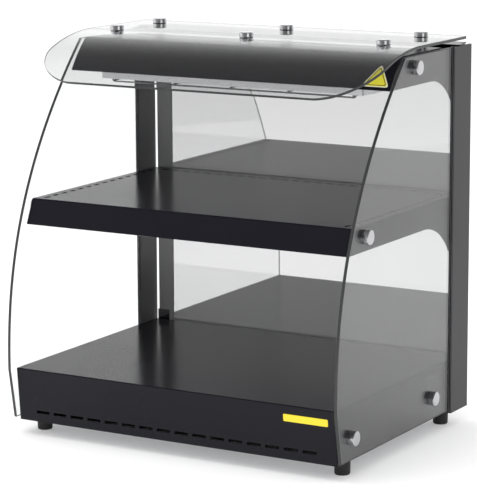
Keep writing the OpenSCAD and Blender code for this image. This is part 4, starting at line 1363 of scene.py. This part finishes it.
class FOODDISPLAY_OT_stage(bpy.types.Operator):
    """Lays the pale floor, lights the studio and sets up the camera"""

    bl_idname = "food_display.stage"
    bl_label = "Floor, light and camera"

    def execute(self, context):
        studio, scene = context.scene.display_studio, context.scene
        radius = FLOOR_RADIUS * np.linspace(0, 1, 12)
        a = np.linspace(0, 2 * np.pi, 96, endpoint=False)
        across, along = radius[:, None] * np.cos(a), radius[:, None] * np.sin(a)
        points = np.stack([across, along, np.zeros_like(across)], -1) + FLOOR_CENTRE
        mesh = bpy.data.meshes.new("floor")
        faces = quads(len(radius), len(a), close_columns=True)
        mesh.from_pydata(points.reshape(-1, 3).tolist(), [], faces.tolist())
        bm = bmesh.new()
        bm.from_mesh(mesh)
        bmesh.ops.remove_doubles(bm, verts=bm.verts, dist=1e-6)
        bmesh.ops.recalc_face_normals(bm, faces=bm.faces)
        if sum(face.normal.z for face in bm.faces) < 0:
            bmesh.ops.reverse_faces(bm, faces=bm.faces)
        bm.to_mesh(mesh)
        bm.free()
        floor = bpy.data.objects.new("floor", mesh)
        scene.collection.objects.link(floor)
        floor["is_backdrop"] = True
        material = bpy.data.materials.new("floor_paper")
        material.use_nodes = True
        web = Web(material.node_tree)
        shader = material.node_tree.nodes["Principled BSDF"]
        place = web.add("ShaderNodeTexCoord").outputs["Object"]
        fibre = web.noise(place, 40.0, 4.0, 0.6)
        paper = tuple(studio.floor)
        colour = web.blend(web.spread(fibre, 0.0, 0.3), (*paper, 1), (*(0.98 * c for c in paper), 1))
        across = web.add("ShaderNodeSeparateXYZ", {0: place}).outputs[0]
        # Painted shadow: to the right of the case the floor's colour is darker in reflections, standing in
        # for the object's shadow
        far_right = smooth_step(web, across, 0.15, 0.45, 0, 1)
        painted_shade = web.math("MULTIPLY", in_reflections(web, 0.0, 1.0), far_right)
        colour = web.blend(painted_shade, colour, (*(studio.floor_dim * c for c in paper), 1))
        web.tree.links.new(colour, shader.inputs["Base Color"])
        web.tree.links.new(web.spread(fibre, 0.75, 0.85), shader.inputs["Roughness"])
        shader.inputs["Specular IOR Level"].default_value = 0.2
        shader.inputs["Emission Color"].default_value = (1, 1, 1, 1)
        web.tree.links.new(in_reflections(web, studio.floor_lift, 0.0), shader.inputs["Emission Strength"])
        mesh.materials.append(material)

        world = bpy.data.worlds.new("studio")
        scene.world = world
        world.use_nodes = True
        web = Web(world.node_tree)
        world.node_tree.nodes.clear()
        world.cycles.sampling_method = "NONE"
        heading = web.add("ShaderNodeTexCoord").outputs["Generated"]
        behind = facing(web, heading, (-0.75, 0.66, 0))
        height = facing(web, heading, (0, 0, 1))
        backdrop = smooth_step(web, behind, -0.6, 0.5, 0, 1)
        low = smooth_step(web, height, 0.25, 0.72, 1, 0)
        strip = smooth_step(web, facing(web, heading, (0.87, -0.5, 0)), 0.95, 0.975, 0, 1)
        lit = web.math("MAXIMUM", web.math("MULTIPLY", backdrop, low), strip)
        seen = web.spread(lit, studio.room, studio.backdrop)
        light = web.add("ShaderNodeBackground", {"Strength": in_reflections(web, studio.tent, seen)})
        web.add("ShaderNodeOutputWorld", {"Surface": light.outputs[0]})

        key = bpy.data.lights.new("overhead_softbox", "AREA")
        key.shape, key.size, key.size_y, key.energy = "RECTANGLE", 2.6, 2.0, studio.key_power
        lamp = bpy.data.objects.new("overhead_softbox", key)
        lamp.location = (-0.6, -0.4, 2.6)
        lamp.rotation_euler = (Vector((0, 0, 0.25)) - lamp.location).to_track_quat("-Z", "Y").to_euler()
        scene.collection.objects.link(lamp)
        lamp.visible_glossy = lamp.visible_transmission = False

        azimuth, elevation, roll = (math.radians(a) for a in (30.24, 10.729, -0.271))
        flat = math.cos(elevation)
        back = Vector((math.sin(azimuth) * flat, -math.cos(azimuth) * flat, math.sin(elevation)))
        level = Vector((math.cos(azimuth), math.sin(azimuth), 0))
        upright = back.cross(level)
        right = level * math.cos(roll) + upright * math.sin(roll)
        up = upright * math.cos(roll) - level * math.sin(roll)
        lens = bpy.data.cameras.new("camera")
        lens.lens, lens.sensor_width, lens.sensor_fit = 179.07, 36.0, "AUTO"
        lens.clip_start, lens.clip_end = 0.05, 60.0
        camera = bpy.data.objects.new("camera", lens)
        turn = Matrix((right, up, back)).transposed()
        stand = Matrix.Translation((1.6764, -2.8846, 0.8910))
        camera.matrix_world = stand @ turn.to_4x4()
        scene.collection.objects.link(camera)
        scene.camera = camera
        scene.view_settings.view_transform = "Standard"
        return {"FINISHED"}


STEPS = (
    FOODDISPLAY_OT_base,
    FOODDISPLAY_OT_shelf,
    FOODDISPLAY_OT_hood,
    FOODDISPLAY_OT_lamp,
    FOODDISPLAY_OT_posts,
    FOODDISPLAY_OT_glass,
    FOODDISPLAY_OT_fittings,
    FOODDISPLAY_OT_door,
    FOODDISPLAY_OT_feet,
    FOODDISPLAY_OT_controls,
    FOODDISPLAY_OT_marks,
    FOODDISPLAY_OT_finishes,
    FOODDISPLAY_OT_stage,
)


class FOODDISPLAY_PT_steps(bpy.types.Panel):
    """Lists the settings and the steps"""

    bl_idname = "FOODDISPLAY_PT_steps"
    bl_label = "Heated Food Display"
    bl_space_type = "VIEW_3D"
    bl_region_type = "UI"
    bl_category = "Food Display"

    def draw(self, context):
        for title, group in (
            ("Sizes", context.scene.display_sizes),
            ("Colours", context.scene.display_colours),
            ("Studio", context.scene.display_studio),
        ):
            box = self.layout.box()
            box.label(text=title)
            for name in group.__annotations__:
                box.prop(group, name)
        for step in STEPS:
            self.layout.operator(step.bl_idname)


GROUPS = {"display_sizes": DisplaySizes, "display_colours": DisplayColours, "display_studio": DisplayStudio}


def register():
    for group in GROUPS.values():
        bpy.utils.register_class(group)
    for name, group in GROUPS.items():
        setattr(bpy.types.Scene, name, PointerProperty(type=group))
    for step in (*STEPS, FOODDISPLAY_PT_steps):
        bpy.utils.register_class(step)


def unregister():
    for step in (FOODDISPLAY_PT_steps, *STEPS[::-1]):
        bpy.utils.unregister_class(step)
    for name in GROUPS:
        delattr(bpy.types.Scene, name)
    for group in GROUPS.values():
        bpy.utils.unregister_class(group)


def main():
    """Registers the add-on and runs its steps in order."""
    register()
    for step in STEPS:
        area, action = step.bl_idname.split(".")
        getattr(getattr(bpy.ops, area), action)()
    boxes = {"cad": CAD_BOUNDS, "visual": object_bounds()}
    lists = {name: [list(corner) for corner in box] for name, box in boxes.items()}


if __name__ == "__main__":
    main()
